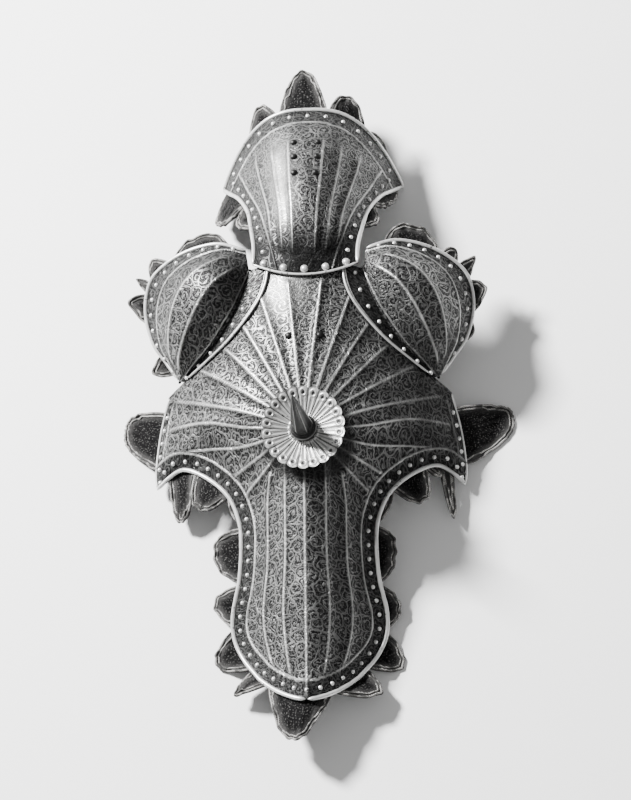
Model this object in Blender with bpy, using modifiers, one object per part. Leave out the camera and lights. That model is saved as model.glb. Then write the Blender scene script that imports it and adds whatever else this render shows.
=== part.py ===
"""Chanfron, the plate defence of a horse's head, lying face up on its edges.

Metres. +Z is up, out of the face. +Y points from the nose to the poll. The chanfron is symmetrical
about the plane x = 0, apart from the tabs of its lining, which were cut and bent by hand.
The origin is on the floor under the middle of the whole piece.
"""
from collections import namedtuple
from math import cos, pi, sin

import bpy
import bmesh
from mathutils import Matrix, Vector

# The tabs reach further to the right than to the left of the ridge: how far the ridge is off the middle
OFF_CENTRE = 0.0064

# Steel
PLATE = 0.0018
LAP_GAP = 0.0005
SEAT_GAP = 0.0003
RIVET_GAP = 0.0006

# Main plate
MAIN_LENGTH = 0.421
NECK_Y = 0.1209
NECK_WIDTH = 0.080
WING_SPAN = 0.302
NOSE_WIDTH = 0.148
BROW_HEIGHT = 0.110
NOSE_HEIGHT = 0.046

# Poll plate
POLL_LENGTH = 0.187
POLL_LAP = 0.016
POLL_NECK_WIDTH = 0.102
POLL_SPAN = 0.179
POLL_CREST = 0.012

# Ear guards
EAR_SPAN = 0.320
EAR_LENGTH = 0.126
EAR_RIM_HEIGHT = 0.098
EAR_DOME = 0.034

# Rondel and spike
RONDEL_DIAMETER = 0.080
RONDEL_SHARE = 0.410
RONDEL_DISH = 0.011
RONDEL_SHEET = 0.0016
PETALS = 22
PETAL_DEPTH = 0.0022
SPIKE_LENGTH = 0.080
SPIKE_WIDTH = 0.021
SPIKE_FOOT_WIDTH = 0.026
SPIKE_FOOT_HEIGHT = 0.009
SPIKE_FLUTES = 6
SPIKE_LEAN = 0.19
SPIKE_TILT = 0.06

# Lining
LINING = 0.0018
LINING_GAP = 0.0009
LINING_TUCK = 0.007
EYE_TUCK = 0.003
TUCK_SLACK = 0.0008
LINING_DROOP = 0.16
FLOOR_DROOP = 0.45
TAB_REACH = 0.030
NOTCH_REACH = 0.0015

# Rivets
RIVET_WIDTH = 0.0075
RIVET_HEIGHT = 0.0030
RIVET_SIDES = 8

# How finely the plates are divided
MAIN_COLUMNS = 10
POLL_COLUMNS = 8
POLL_STEPS = 2
EAR_ROWS = 16
DOME_COLUMNS = 8
TAB_STEPS = 6
PLAIN_STEP = 0.08

# A row crosses half of a plate from its ridge to its edge. Columns: place of its start on the ridge and
# of its end on the edge, as shares of the plate's length; the width that its half width is a share of;
# that share; its ridge's height as a share of the rise between the plate's ends; its edge's height as a
# share of its ridge's; how late it bends; how round its arch is; how creased it is at the ridge; how much
# it flares at the edge; whether the outline turns a corner there.
Row = namedtuple("Row", "ridge edge size half high low bend arch crease flare corner")

MAIN_ROWS = (
    Row(0.000, 0.008, "neck", 1.00, 0.96, 0.925, 1.5, 2.0, 0.02, 0.0, True),
    Row(0.043, 0.062, "neck", 1.25, 0.96, 0.890, 1.5, 2.0, 0.02, 0.0, False),
    Row(0.095, 0.107, "neck", 1.53, 0.97, 0.830, 1.5, 2.0, 0.02, 0.0, False),
    Row(0.157, 0.171, "wing", 0.55, 0.98, 0.690, 2.0, 2.0, 0.02, 0.0, False),
    Row(0.200, 0.215, "wing", 0.71, 0.99, 0.520, 2.2, 2.0, 0.03, 0.0, False),
    Row(0.233, 0.264, "wing", 0.91, 1.00, 0.300, 2.5, 2.0, 0.04, 0.1, True),
    Row(0.300, 0.347, "wing", 0.97, 0.99, 0.185, 3.0, 2.1, 0.05, 0.2, False),
    Row(0.347, 0.430, "wing", 1.00, 0.97, 0.115, 4.0, 2.1, 0.06, 0.2, False),
    Row(0.371, 0.472, "wing", 0.99, 0.96, 0.100, 5.0, 2.1, 0.07, 0.3, True),
    Row(0.385, 0.447, "wing", 0.90, 0.95, 0.170, 4.0, 2.1, 0.08, 0.4, False),
    Row(0.400, 0.438, "wing", 0.80, 0.94, 0.260, 3.0, 2.1, 0.09, 0.5, False),
    Row(0.423, 0.468, "wing", 0.65, 0.92, 0.360, 2.5, 2.1, 0.10, 0.6, False),
    Row(0.466, 0.515, "nose", 1.05, 0.87, 0.410, 2.0, 2.1, 0.14, 0.7, False),
    Row(0.513, 0.572, "nose", 0.91, 0.78, 0.415, 2.0, 2.1, 0.18, 0.7, False),
    Row(0.570, 0.625, "nose", 0.88, 0.68, 0.400, 2.0, 2.1, 0.20, 0.7, False),
    Row(0.684, 0.703, "nose", 0.91, 0.49, 0.350, 2.0, 2.1, 0.22, 0.7, False),
    Row(0.770, 0.774, "nose", 1.00, 0.36, 0.230, 2.0, 2.1, 0.22, 0.7, False),
    Row(0.836, 0.828, "nose", 0.99, 0.25, 0.170, 2.0, 2.1, 0.22, 0.7, False),
    Row(0.917, 0.879, "nose", 0.87, 0.12, 0.220, 2.0, 2.1, 0.22, 0.7, False),
    Row(1.000, 0.934, "nose", 0.65, 0.00, 0.480, 1.7, 2.0, 0.20, 0.5, True),
)

POLL_ROWS = (
    Row(0.00, 0.075, "poll_neck", 1.00, 0.000, 0.940, 2.0, 2.0, 0.0, 0.0, True),
    Row(0.10, 0.187, "poll_neck", 1.00, 0.500, 0.830, 2.0, 2.0, 0.0, 0.2, False),
    Row(0.23, 0.326, "poll_neck", 1.08, 0.950, 0.690, 2.0, 2.1, 0.0, 0.3, False),
    Row(0.36, 0.444, "poll_neck", 1.17, 1.000, 0.560, 2.0, 2.2, 0.0, 0.4, False),
    Row(0.53, 0.561, "poll_span", 0.78, 0.720, 0.395, 2.0, 2.3, 0.0, 0.4, False),
    Row(0.76, 0.642, "poll_span", 0.90, -0.400, 0.230, 2.4, 2.5, 0.0, 0.2, False),
    Row(1.00, 0.714, "poll_span", 1.00, -2.800, 0.026, 2.8, 2.8, 0.0, 0.0, True),
)

# The flange of an ear guard lies on the main plate's slanting edge. Columns: row of the main plate, and
# the flange's inner and outer edge as shares of that row.
Flange = namedtuple("Flange", "row inner outer")

EAR_FLANGE = (
    Flange(0.0, 0.86, 1.34),
    Flange(1.0, 0.76, 1.24),
    Flange(2.0, 0.78, 1.15),
    Flange(3.0, 0.86, 1.09),
    Flange(4.0, 0.91, 1.04),
    Flange(4.5, 0.94, 1.01),
)

# The mouth of an ear guard, from the poll round to its foot. Columns: shares of half the span over both
# ears, of the ear guard's length and of its rim's height.
Mouth = namedtuple("Mouth", "out up high")

EAR_MOUTH = (
    Mouth(0.365, 0.935, 0.955),
    Mouth(0.545, 1.000, 0.930),
    Mouth(0.745, 0.970, 0.820),
    Mouth(0.900, 0.880, 0.690),
    Mouth(0.978, 0.765, 0.590),
    Mouth(1.000, 0.565, 0.490),
    Mouth(0.956, 0.340, 0.430),
    Mouth(0.875, 0.185, 0.405),
    Mouth(0.800, 0.045, 0.410),
)

# A tab of the lining. Columns: where it starts, reaches furthest and ends along its strip, as shares;
# its reach as a share of the usual one; how rounded it is, 1 for a plain point; how far it leans along.
Tab = namedtuple("Tab", "start tip end reach round lean", defaults=(0.0,))

POLL_TABS = (
    Tab(0.00, 0.05, 0.13, 0.30, 2.0),
    Tab(0.14, 0.25, 0.37, 0.75, 3.0),
    Tab(0.38, 0.54, 0.69, 1.50, 2.4),
    Tab(0.70, 0.82, 0.90, 0.72, 1.7),
)
POLL_SIDE_TABS_LEFT = (
    Tab(0.02, 0.28, 0.58, 1.10, 2.6, 0.25),
    Tab(0.60, 0.78, 1.00, 0.50, 1.8),
)
POLL_SIDE_TABS_RIGHT = (
    Tab(0.05, 0.30, 0.60, 0.40, 2.4),
    Tab(0.60, 0.78, 1.00, 0.45, 1.8),
)
EAR_TABS_LEFT = (
    Tab(0.02, 0.15, 0.28, 0.42, 3.0),
    Tab(0.30, 0.39, 0.46, 0.50, 1.9),
    Tab(0.46, 0.50, 0.53, 0.55, 1.7),
    Tab(0.53, 0.60, 0.68, 0.62, 2.0),
    Tab(0.84, 0.92, 1.00, 0.60, 2.2),
)
EAR_TABS_RIGHT = (
    Tab(0.02, 0.15, 0.27, 0.62, 3.0),
    Tab(0.27, 0.32, 0.37, 0.40, 1.9),
    Tab(0.37, 0.43, 0.49, 0.60, 1.7),
    Tab(0.49, 0.57, 0.66, 0.50, 2.0),
    Tab(0.68, 0.74, 0.80, 0.20, 1.8),
)
WING_TABS_LEFT = (
    Tab(0.05, 0.45, 0.95, 1.33, 3.4),
)
WING_TABS_RIGHT = (
    Tab(0.05, 0.45, 0.95, 1.80, 3.4),
)
EYE_TABS_LEFT = (
    Tab(0.00, 0.17, 0.37, 1.60, 3.0, -0.35),
    Tab(0.37, 0.54, 0.73, 0.95, 2.6, 0.05),
    Tab(0.73, 0.86, 1.00, 0.15, 2.0),
)
EYE_TABS_RIGHT = (
    Tab(0.00, 0.08, 0.20, 1.55, 2.6, -0.90),
    Tab(0.20, 0.27, 0.35, 0.40, 2.0, -0.40),
    Tab(0.35, 0.50, 0.68, 0.90, 2.8),
    Tab(0.68, 0.84, 1.00, 0.20, 2.0),
)
CHEEK_TABS_LEFT = (
    Tab(0.00, 0.18, 0.35, 0.92, 2.8),
    Tab(0.36, 0.49, 0.63, 0.70, 2.4),
    Tab(0.64, 0.83, 1.00, 0.82, 2.4),
)
CHEEK_TABS_RIGHT = (
    Tab(0.00, 0.18, 0.36, 0.60, 2.6),
    Tab(0.37, 0.51, 0.66, 0.45, 2.4),
    Tab(0.68, 0.86, 1.00, 0.82, 2.2),
)
NOSE_TABS = (
    Tab(0.00, 0.16, 0.31, 0.80, 2.2, -0.25),
    Tab(0.33, 0.56, 0.78, 1.25, 2.6),
    Tab(0.80, 0.90, 1.00, 0.85, 2.2),
)

HALF_WIDTHS = {
    "neck": NECK_WIDTH / 2,
    "wing": WING_SPAN / 2,
    "nose": NOSE_WIDTH / 2,
    "poll_neck": POLL_NECK_WIDTH / 2,
    "poll_span": POLL_SPAN / 2,
}


def smooth(values, place, corners=()):
    """Read a smooth curve through values at a fractional index, with a break of slope at each corner."""
    last = len(values) - 1
    index = min(max(int(place), 0), last - 1)
    share = place - index
    here, there = values[index], values[index + 1]
    step = there - here
    slope_here = step if index == 0 or index in corners else (there - values[index - 1]) / 2
    slope_there = step if index + 1 == last or index + 1 in corners else (values[index + 2] - here) / 2
    if share < 0:
        return here + slope_here * share
    if share > 1:
        return there + slope_there * (share - 1)
    hermite = 3 * share ** 2 - 2 * share ** 3
    bend_here = share - 2 * share ** 2 + share ** 3
    bend_there = share ** 3 - share ** 2
    return here + step * hermite + slope_here * bend_here + slope_there * bend_there


UP = Vector((0, 0, 1))


class Sheet:
    """A plate's outer surface: fractional row down its length, share of the row out to its edge."""

    def __init__(self, rows, start, length, low_end, high_end):
        self.rows = rows
        self.last = len(rows) - 1
        corners = [index for index, row in enumerate(rows) if row.corner]
        along = [(start + length * row.ridge, start + length * row.edge) for row in rows]
        self.ridge_y = [pair[0] for pair in along]
        self.edge_y = [pair[1] for pair in along]
        self.half = [row.half * HALF_WIDTHS[row.size] for row in rows]
        self.top = [low_end + (high_end - low_end) * row.high for row in rows]
        self.foot = [top * row.low for top, row in zip(self.top, rows)]
        self.corners = corners

    def column(self, name, place):
        return smooth([getattr(row, name) for row in self.rows], place)

    def point(self, place, share):
        out = abs(share)
        ridge_y = smooth(self.ridge_y, place)
        edge_y = smooth(self.edge_y, place, self.corners)
        half = smooth(self.half, place, self.corners)
        top = smooth(self.top, place)
        foot = smooth(self.foot, place, self.corners)
        crease = self.column("crease", place)
        flare = self.column("flare", place)
        arch = out ** self.column("arch", place)
        bell = arch if out > 1 else out ** 2 * (3 - 2 * out)
        fall = crease * out + (1 - crease) * ((1 - flare) * arch + flare * bell)
        y = ridge_y + (edge_y - ridge_y) * out ** self.column("bend", place)
        return Vector((half * share, y, top - (top - foot) * fall))

    def normal(self, place, share):
        step = 0.01
        across = self.point(place, share + step) - self.point(place, share - step)
        along = self.point(place + step, share) - self.point(place - step, share)
        facing = across.cross(along).normalized()
        return facing if facing.z > 0 else -facing

    def raised(self, place, share, height):
        return self.point(place, share) + self.normal(place, share) * height


MAIN = Sheet(MAIN_ROWS, NECK_Y, -MAIN_LENGTH, NOSE_HEIGHT, BROW_HEIGHT)
POLL_FOOT_HEIGHT = MAIN.point(0.5, 0).z + PLATE + LAP_GAP
POLL = Sheet(POLL_ROWS, NECK_Y - POLL_LAP, POLL_LENGTH, POLL_FOOT_HEIGHT, POLL_FOOT_HEIGHT + POLL_CREST)


def steps(first, last, count):
    return [first + (last - first) * index / count for index in range(count + 1)]


def material(name, colour, roughness, metallic):
    made = bpy.data.materials.new(name)
    made.use_nodes = True
    shader = made.node_tree.nodes["Principled BSDF"]
    shader.inputs["Base Color"].default_value = (*colour, 1)
    shader.inputs["Roughness"].default_value = roughness
    shader.inputs["Metallic"].default_value = metallic
    return made


def steel(name):
    return material(name, (0.09, 0.09, 0.09), 0.38, 1.0)


def bright_steel(name):
    return material(name, (0.42, 0.42, 0.41), 0.30, 1.0)


def cloth(name):
    return material(name, (0.025, 0.022, 0.024), 0.85, 0.0)


def add_object(name, mesh, finish):
    thing = bpy.data.objects.new(name, mesh)
    thing.data.materials.append(finish)
    COLLECTION.objects.link(thing)
    return thing


def grid_mesh(name, rows):
    """An open sheet of quads through rows of points."""
    mesh = bpy.data.meshes.new(name)
    shape = bmesh.new()
    lattice = [[shape.verts.new(point) for point in row] for row in rows]
    for upper, lower in zip(lattice, lattice[1:]):
        for a, b, c, d in zip(upper, upper[1:], lower[1:], lower):
            shape.faces.new((a, b, c, d))
    bmesh.ops.recalc_face_normals(shape, faces=shape.faces)
    if sum(face.normal.z for face in shape.faces) < 0:
        bmesh.ops.reverse_faces(shape, faces=shape.faces)
    shape.to_mesh(mesh)
    shape.free()
    mesh.shade_smooth()
    return mesh


def thicken(thing, thickness, even=True):
    shell = thing.modifiers.new("Thickness", "SOLIDIFY")
    shell.thickness = thickness
    shell.offset = -1.0
    shell.use_even_offset = even
    return shell


def mirror(thing):
    both = thing.modifiers.new("Other half", "MIRROR")
    both.use_axis = (True, False, False)
    both.merge_threshold = 0.0001
    return both


def half_plate(name, sheet, places, columns, finish):
    """Half a plate from its ridge out, mirrored and given its thickness on the inside."""
    rows = [[sheet.point(place, share) for share in steps(0, 1, columns)] for place in places]
    plate = add_object(name, grid_mesh(name, rows), finish)
    mirror(plate)
    thicken(plate, PLATE)
    return plate


def make_main_plate():
    places = []
    for index in range(MAIN.last):
        places.append(index)
        if MAIN_ROWS[index + 1].ridge - MAIN_ROWS[index].ridge > 0.045:
            places.append(index + 0.5)
    places.append(MAIN.last)
    return half_plate("main_plate", MAIN, places, MAIN_COLUMNS, steel("main_plate_steel"))


def make_poll_plate():
    places = steps(0, POLL.last, POLL.last * POLL_STEPS)
    return half_plate("poll_plate", POLL, places, POLL_COLUMNS, steel("poll_plate_steel"))


def flange_place(share):
    """Row of the main plate, and inner and outer shares of that row, along an ear guard's flange."""
    place = share * (len(EAR_FLANGE) - 1)
    row = smooth([each.row for each in EAR_FLANGE], place)
    inner = smooth([each.inner for each in EAR_FLANGE], place)
    outer = smooth([each.outer for each in EAR_FLANGE], place)
    return row, inner, outer


def mouth_point(share):
    place = share * (len(EAR_MOUTH) - 1)
    out = smooth([each.out for each in EAR_MOUTH], place) * EAR_SPAN / 2
    up = smooth([each.up for each in EAR_MOUTH], place) * EAR_LENGTH
    high = smooth([each.high for each in EAR_MOUTH], place) * EAR_RIM_HEIGHT
    foot = MAIN.point(4.5, 1)
    return Vector((out, foot.y + up, high))


def hump(share):
    return max(0.0, sin(pi * share))


def ear_point(share, across):
    """Outer surface of the right ear guard: 0 to 1 is the dome, below 0 the flange on the main plate."""
    row, inner, outer = flange_place(share)
    lift = PLATE + LAP_GAP
    if across <= 0:
        return MAIN.raised(row, outer + (outer - inner) * across, lift)
    foot = MAIN.raised(row, outer, lift)
    mouth = mouth_point(share)
    dome = EAR_DOME * hump(share) ** 0.8 * hump(across ** 0.75) ** 1.25
    return foot.lerp(mouth, across) + Vector((0, 0, dome))


def make_ear_guard(name, side):
    columns = steps(-1, 0, 2)[:-1] + steps(0, 1, DOME_COLUMNS)
    rows = [[ear_point(share, across) for across in columns] for share in steps(0, 1, EAR_ROWS)]
    flipped = [[Vector((side * point.x, point.y, point.z)) for point in row] for row in rows]
    guard = add_object(name, grid_mesh(name, flipped), steel(name + "_steel"))
    thicken(guard, PLATE)
    return guard


def facing_of(surface, row, across):
    step = 0.01
    down = surface(row + step, across) - surface(row - step, across)
    over = surface(row, across + step) - surface(row, across - step)
    facing = down.cross(over).normalized()
    return facing if facing.z > 0 else -facing


def sheet_spot(sheet, place):
    """Row and share on a plate's outline, which runs down one side, along the last row and back up."""
    if place <= sheet.last:
        return place, 1.0
    if place <= sheet.last + 2:
        return sheet.last, 1.0 - (place - sheet.last)
    return 2 * sheet.last + 2 - place, -1.0


def rim_frame(surface, spot, last, turn, place):
    """The point at a place along an outline, and the ways out of the surface, along it and up from it."""
    step = 0.02
    edge = surface(*spot(place))
    run = surface(*spot(place + step)) - surface(*spot(place - step))
    row, share = spot(place)
    up = facing_of(surface, min(row, last - step), min(max(share, step - 1), 1 - step))
    out = up.cross(run).normalized() * turn
    return edge, out, run.normalized(), up


def main_rim(place):
    return rim_frame(MAIN.point, lambda spot: sheet_spot(MAIN, spot), MAIN.last, 1, place)


def poll_rim(place):
    return rim_frame(POLL.point, lambda spot: sheet_spot(POLL, spot), POLL.last, -1, place)


def ear_rim(place):
    return rim_frame(ear_point, lambda spot: (spot, 1.0), 1, 1, place)


def tab_at(tabs, share):
    """The tab that a place along a strip lies in, if any."""
    for tab in tabs:
        if tab.start <= share <= tab.end:
            return tab
    return None


def tab_reach(tab, share):
    """How far the lining reaches past the rim at a place along its strip."""
    if tab is None:
        return 0.0
    span = tab.tip - tab.start if share < tab.tip else tab.end - tab.tip
    away = abs(share - tab.tip) / span
    return TAB_REACH * tab.reach * (1 - away ** tab.round)


def tab_places(tabs):
    """Places along a strip at which its outline is drawn: each tab and each plain stretch in steps."""
    bounds = [0.0]
    for tab in tabs:
        bounds += [tab.start, tab.tip, tab.end]
    bounds.append(1.0)
    places = {1.0}
    for start, end in zip(bounds, bounds[1:]):
        count = max(1, round((end - start) / PLAIN_STEP))
        places.update(steps(start, end, max(count, TAB_STEPS // 2) if end - start > 0.025 else 1))
    ordered = sorted(places)
    return [place for place, after in zip(ordered, ordered[1:] + [2.0]) if after - place > 0.004]


def level(way):
    return Vector((way.x, way.y, 0)).normalized()


def make_lining(name, rim, first, last, tabs, side=1, droop=LINING_DROOP, tuck=LINING_TUCK):
    """A strip of lining tucked behind a rim, with its scalloped edge showing past it."""
    rows = []
    for share in tab_places(tabs):
        place = first + (last - first) * share
        edge, out, run, up = rim(place)
        tab = tab_at(tabs, share)
        way = level(out)
        if tab is not None:
            tip = rim(first + (last - first) * tab.tip)
            way = (level(tip[1]) + tab.lean * level(tip[2])).normalized()
        reach = tab_reach(tab, share) + NOTCH_REACH
        rim_point = edge - up * (PLATE + LINING_GAP)
        row = [rim_point - out * tuck - up * TUCK_SLACK, rim_point]
        for far in (0.5, 1.0):
            row.append(rim_point + (way - UP * droop) * reach * far)
        for point in row:
            point.x *= side
            point.z = max(point.z, LINING)
        rows.append(row)
    strip = add_object(name, grid_mesh(name, rows), cloth(name + "_cloth"))
    thicken(strip, LINING, even=False)
    return strip


def make_linings():
    make_lining("poll_lining", poll_rim, 6.13, 7.87, POLL_TABS)
    make_lining("nose_lining", main_rim, 18.55, 21.45, NOSE_TABS)
    sides = (
        ("left", -1, POLL_SIDE_TABS_LEFT, EAR_TABS_LEFT, WING_TABS_LEFT, EYE_TABS_LEFT, CHEEK_TABS_LEFT),
        ("right", 1, POLL_SIDE_TABS_RIGHT, EAR_TABS_RIGHT, WING_TABS_RIGHT, EYE_TABS_RIGHT,
         CHEEK_TABS_RIGHT),
    )
    for name, side, poll_tabs, ear_tabs, wing_tabs, eye_tabs, cheek_tabs in sides:
        make_lining("poll_side_lining_" + name, poll_rim, 5.75, 2.0, poll_tabs, side)
        make_lining("ear_lining_" + name, ear_rim, 0.05, 0.97, ear_tabs, side)
        make_lining("wing_lining_" + name, main_rim, 5.3, 7.0, wing_tabs, side, FLOOR_DROOP)
        make_lining("eye_lining_" + name, main_rim, 8.85, 13.15, eye_tabs, side,
                    LINING_DROOP, EYE_TUCK)
        make_lining("cheek_lining_" + name, main_rim, 13.3, 18.45, cheek_tabs, side, FLOOR_DROOP)


def row_of_ridge(sheet, place):
    """Fractional row whose ridge is at a share of the plate's length."""
    low, high = 0.0, float(sheet.last)
    for _ in range(30):
        middle = (low + high) / 2
        if smooth([row.ridge for row in sheet.rows], middle) < place:
            low = middle
        else:
            high = middle
    return low


def seat_matrix(point, facing, lift, lean=0.0, tilt=0.0):
    """Stand a turned piece on a plate, with an optional lean towards the poll and tilt to the left."""
    turn = facing.to_track_quat("Z", "Y").to_matrix().to_4x4()
    tip = Matrix.Rotation(-tilt, 4, "Y") @ Matrix.Rotation(-lean, 4, "X")
    return Matrix.Translation(point + facing * lift) @ tip @ turn


def make_rondel():
    """A dished rosette whose edge is scalloped into petals, with a raised ring round each eye."""
    radius = RONDEL_DIAMETER / 2
    sides = PETALS * 4
    mesh = bpy.data.meshes.new("rondel")
    shape = bmesh.new()
    rings = []
    for share, is_edge in ((0.12, 0), (0.45, 0), (0.80, 0), (1.0, 1)):
        ring = []
        for index in range(sides):
            angle = 2 * pi * index / sides
            petal = abs(sin(PETALS * angle / 2))
            out = radius * share - is_edge * PETAL_DEPTH * (1 - petal)
            high = RONDEL_DISH * share ** 2
            ring.append(shape.verts.new((out * cos(angle), out * sin(angle), high)))
        rings.append(ring)
    centre = shape.verts.new((0, 0, 0))
    for index in range(sides):
        after = (index + 1) % sides
        shape.faces.new((centre, rings[0][index], rings[0][after]))
        for inner, outer in zip(rings, rings[1:]):
            shape.faces.new((inner[index], outer[index], outer[after], inner[after]))
    shape.to_mesh(mesh)
    shape.free()
    mesh.shade_smooth()
    rondel = add_object("rondel", mesh, bright_steel("rondel_steel"))
    thicken(rondel, RONDEL_SHEET)
    place = row_of_ridge(MAIN, RONDEL_SHARE)
    facing = rondel_facing()
    rondel.matrix_world = seat_matrix(MAIN.point(place, 0), facing, RONDEL_SHEET + SEAT_GAP)
    return rondel


def rondel_facing():
    """The way that the brow faces at the rondel, on the plane of symmetry."""
    place = row_of_ridge(MAIN, RONDEL_SHARE)
    run = MAIN.point(place + 0.5, 0) - MAIN.point(place - 0.5, 0)
    return Vector((1, 0, 0)).cross(-run).normalized()


def make_spike():
    """A tapering fluted spike that stands on a turned foot."""
    foot = SPIKE_FOOT_WIDTH / 2
    root = SPIKE_WIDTH / 2
    profile = (
        (foot, 0.0, 0.0),
        (foot, SPIKE_FOOT_HEIGHT * 0.35, 0.0),
        (foot * 0.80, SPIKE_FOOT_HEIGHT * 0.65, 0.0),
        (root * 0.92, SPIKE_FOOT_HEIGHT, 0.4),
        (root, SPIKE_FOOT_HEIGHT * 1.6, 1.0),
        (root * 0.62, SPIKE_LENGTH * 0.55, 1.0),
        (root * 0.25, SPIKE_LENGTH * 0.88, 0.6),
    )
    sides = SPIKE_FLUTES * 2
    mesh = bpy.data.meshes.new("spike")
    shape = bmesh.new()
    rings = []
    for width, high, fluted in profile:
        ring = []
        for index in range(sides):
            angle = 2 * pi * index / sides
            out = width * (1 - 0.14 * fluted * (index % 2))
            ring.append(shape.verts.new((out * cos(angle), out * sin(angle), high)))
        rings.append(ring)
    tip = shape.verts.new((0, 0, SPIKE_LENGTH))
    shape.faces.new(list(reversed(rings[0])))
    for index in range(sides):
        after = (index + 1) % sides
        for lower, upper in zip(rings, rings[1:]):
            shape.faces.new((lower[index], lower[after], upper[after], upper[index]))
        shape.faces.new((rings[-1][index], rings[-1][after], tip))
    shape.to_mesh(mesh)
    shape.free()
    spike = add_object("spike", mesh, steel("spike_steel"))
    place = row_of_ridge(MAIN, RONDEL_SHARE)
    facing = rondel_facing()
    dish = RONDEL_DISH * (foot / (RONDEL_DIAMETER / 2)) ** 2
    lift = RONDEL_SHEET + SEAT_GAP * 2 + dish + foot * sin(SPIKE_LEAN + SPIKE_TILT)
    spike.matrix_world = seat_matrix(MAIN.point(place, 0), facing, lift, SPIKE_LEAN, SPIKE_TILT)
    return spike


def rivet_mesh():
    """A low domed rivet head, turned from a quarter profile."""
    radius = RIVET_WIDTH / 2
    profile = [(0, 0, RIVET_HEIGHT)]
    for angle in steps(pi / 6, pi / 2, 2):
        profile.append((radius * sin(angle), 0, RIVET_HEIGHT * (0.35 + 0.65 * cos(angle))))
    profile += [(radius, 0, 0), (0, 0, 0)]
    mesh = bpy.data.meshes.new("rivet")
    shape = bmesh.new()
    points = [shape.verts.new(point) for point in profile]
    for upper, lower in zip(points, points[1:]):
        shape.edges.new((upper, lower))
    shape.to_mesh(mesh)
    shape.free()
    return mesh


def make_rivet(name, mesh, point, facing, finish):
    rivet = add_object(name, mesh.copy(), finish)
    turn = rivet.modifiers.new("Turn", "SCREW")
    turn.steps = RIVET_SIDES
    turn.render_steps = RIVET_SIDES
    turn.use_merge_vertices = True
    turn.merge_threshold = 0.0001
    rivet.matrix_world = seat_matrix(point, facing, RIVET_GAP)
    return rivet


def make_rivets():
    """Rivets of the poll joint, the group in the middle of the poll plate and the two on the brow."""
    mesh = rivet_mesh()
    finish = bright_steel("rivet_steel")
    spots = []
    for index, share in enumerate((-0.78, -0.40, 0.0, 0.40, 0.78)):
        spots.append(("joint_rivet_%d" % (index + 1), POLL, 0.28, share))
    for row, place in enumerate((4.1, 4.55, 4.95)):
        for side, share in (("left", -0.15), ("right", 0.15)):
            spots.append(("poll_rivet_%s_%d" % (side, row + 1), POLL, place, share))
    for side, share in (("left", -0.15), ("right", 0.15)):
        spots.append(("brow_rivet_" + side, MAIN, 3.62, share))
    for name, sheet, place, share in spots:
        make_rivet(name, mesh, sheet.point(place, share), sheet.normal(place, share), finish)
    bpy.data.meshes.remove(mesh)


for old in list(bpy.data.objects):
    bpy.data.objects.remove(old, do_unlink=True)
COLLECTION = bpy.data.collections.new("chanfron")
bpy.context.scene.collection.children.link(COLLECTION)

make_main_plate()
make_poll_plate()
make_ear_guard("ear_guard_left", -1)
make_ear_guard("ear_guard_right", 1)
make_rondel()
make_spike()
make_linings()
make_rivets()
for piece in COLLECTION.objects:
    piece.location.x -= OFF_CENTRE
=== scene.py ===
"""A horse's chanfron of etched and fluted steel, lying face up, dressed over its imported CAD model.

Metres, in the CAD model's frame: +Z is up, out of the face, and +Y points from the nose to the poll. The
plates are symmetrical about their ridge, which lies OFF_CENTRE to the left of the frame's middle.
"""

from collections import namedtuple
from math import atan2, cos, pi, radians, sin

import bmesh
import bpy
import numpy as np
from mathutils import Matrix, Quaternion, Vector
from mathutils.bvhtree import BVHTree


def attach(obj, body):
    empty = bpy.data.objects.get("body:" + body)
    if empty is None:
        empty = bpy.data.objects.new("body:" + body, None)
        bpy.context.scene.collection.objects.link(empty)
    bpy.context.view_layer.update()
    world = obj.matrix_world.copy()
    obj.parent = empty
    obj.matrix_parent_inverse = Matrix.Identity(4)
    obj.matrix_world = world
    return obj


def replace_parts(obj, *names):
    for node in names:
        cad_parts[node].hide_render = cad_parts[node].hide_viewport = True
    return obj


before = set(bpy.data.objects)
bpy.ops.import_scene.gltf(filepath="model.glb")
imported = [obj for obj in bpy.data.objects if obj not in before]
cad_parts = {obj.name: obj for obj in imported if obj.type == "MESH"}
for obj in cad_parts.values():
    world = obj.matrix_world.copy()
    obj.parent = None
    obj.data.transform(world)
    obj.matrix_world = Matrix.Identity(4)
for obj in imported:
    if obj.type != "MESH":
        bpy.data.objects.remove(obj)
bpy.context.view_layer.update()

# Sizes of the CAD model
OFF_CENTRE = 0.0064
PLATE = 0.0018
LAP_GAP = 0.0005
MAIN_LENGTH = 0.421
NECK_Y = 0.1209
NECK_WIDTH = 0.080
WING_SPAN = 0.302
NOSE_WIDTH = 0.148
BROW_HEIGHT = 0.110
NOSE_HEIGHT = 0.046
POLL_LENGTH = 0.187
POLL_LAP = 0.016
POLL_NECK_WIDTH = 0.102
POLL_SPAN = 0.179
POLL_CREST = 0.012
EAR_SPAN = 0.320
EAR_LENGTH = 0.126
EAR_RIM_HEIGHT = 0.098
EAR_DOME = 0.034
RONDEL_DIAMETER = 0.080
RONDEL_SHARE = 0.410
RONDEL_DISH = 0.011
RONDEL_SHEET = 0.0016
SEAT_GAP = 0.0003
RIVET_GAP = 0.0006
PETALS = 22
PETAL_DEPTH = 0.0022
SPIKE_LENGTH = 0.080
SPIKE_WIDTH = 0.021
SPIKE_FOOT_WIDTH = 0.026
SPIKE_FOOT_HEIGHT = 0.009
SPIKE_FLUTES = 6
SPIKE_LEAN = 0.19
SPIKE_TILT = 0.06
LINING = 0.0018
LINING_GAP = 0.0009
LINING_TUCK = 0.007
EYE_TUCK = 0.003
TUCK_SLACK = 0.0008
LINING_DROOP = 0.16
FLOOR_DROOP = 0.45
TAB_REACH = 0.030
NOTCH_REACH = 0.0015
RIVET_WIDTH = 0.0075
RIVET_HEIGHT = 0.0030

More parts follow.
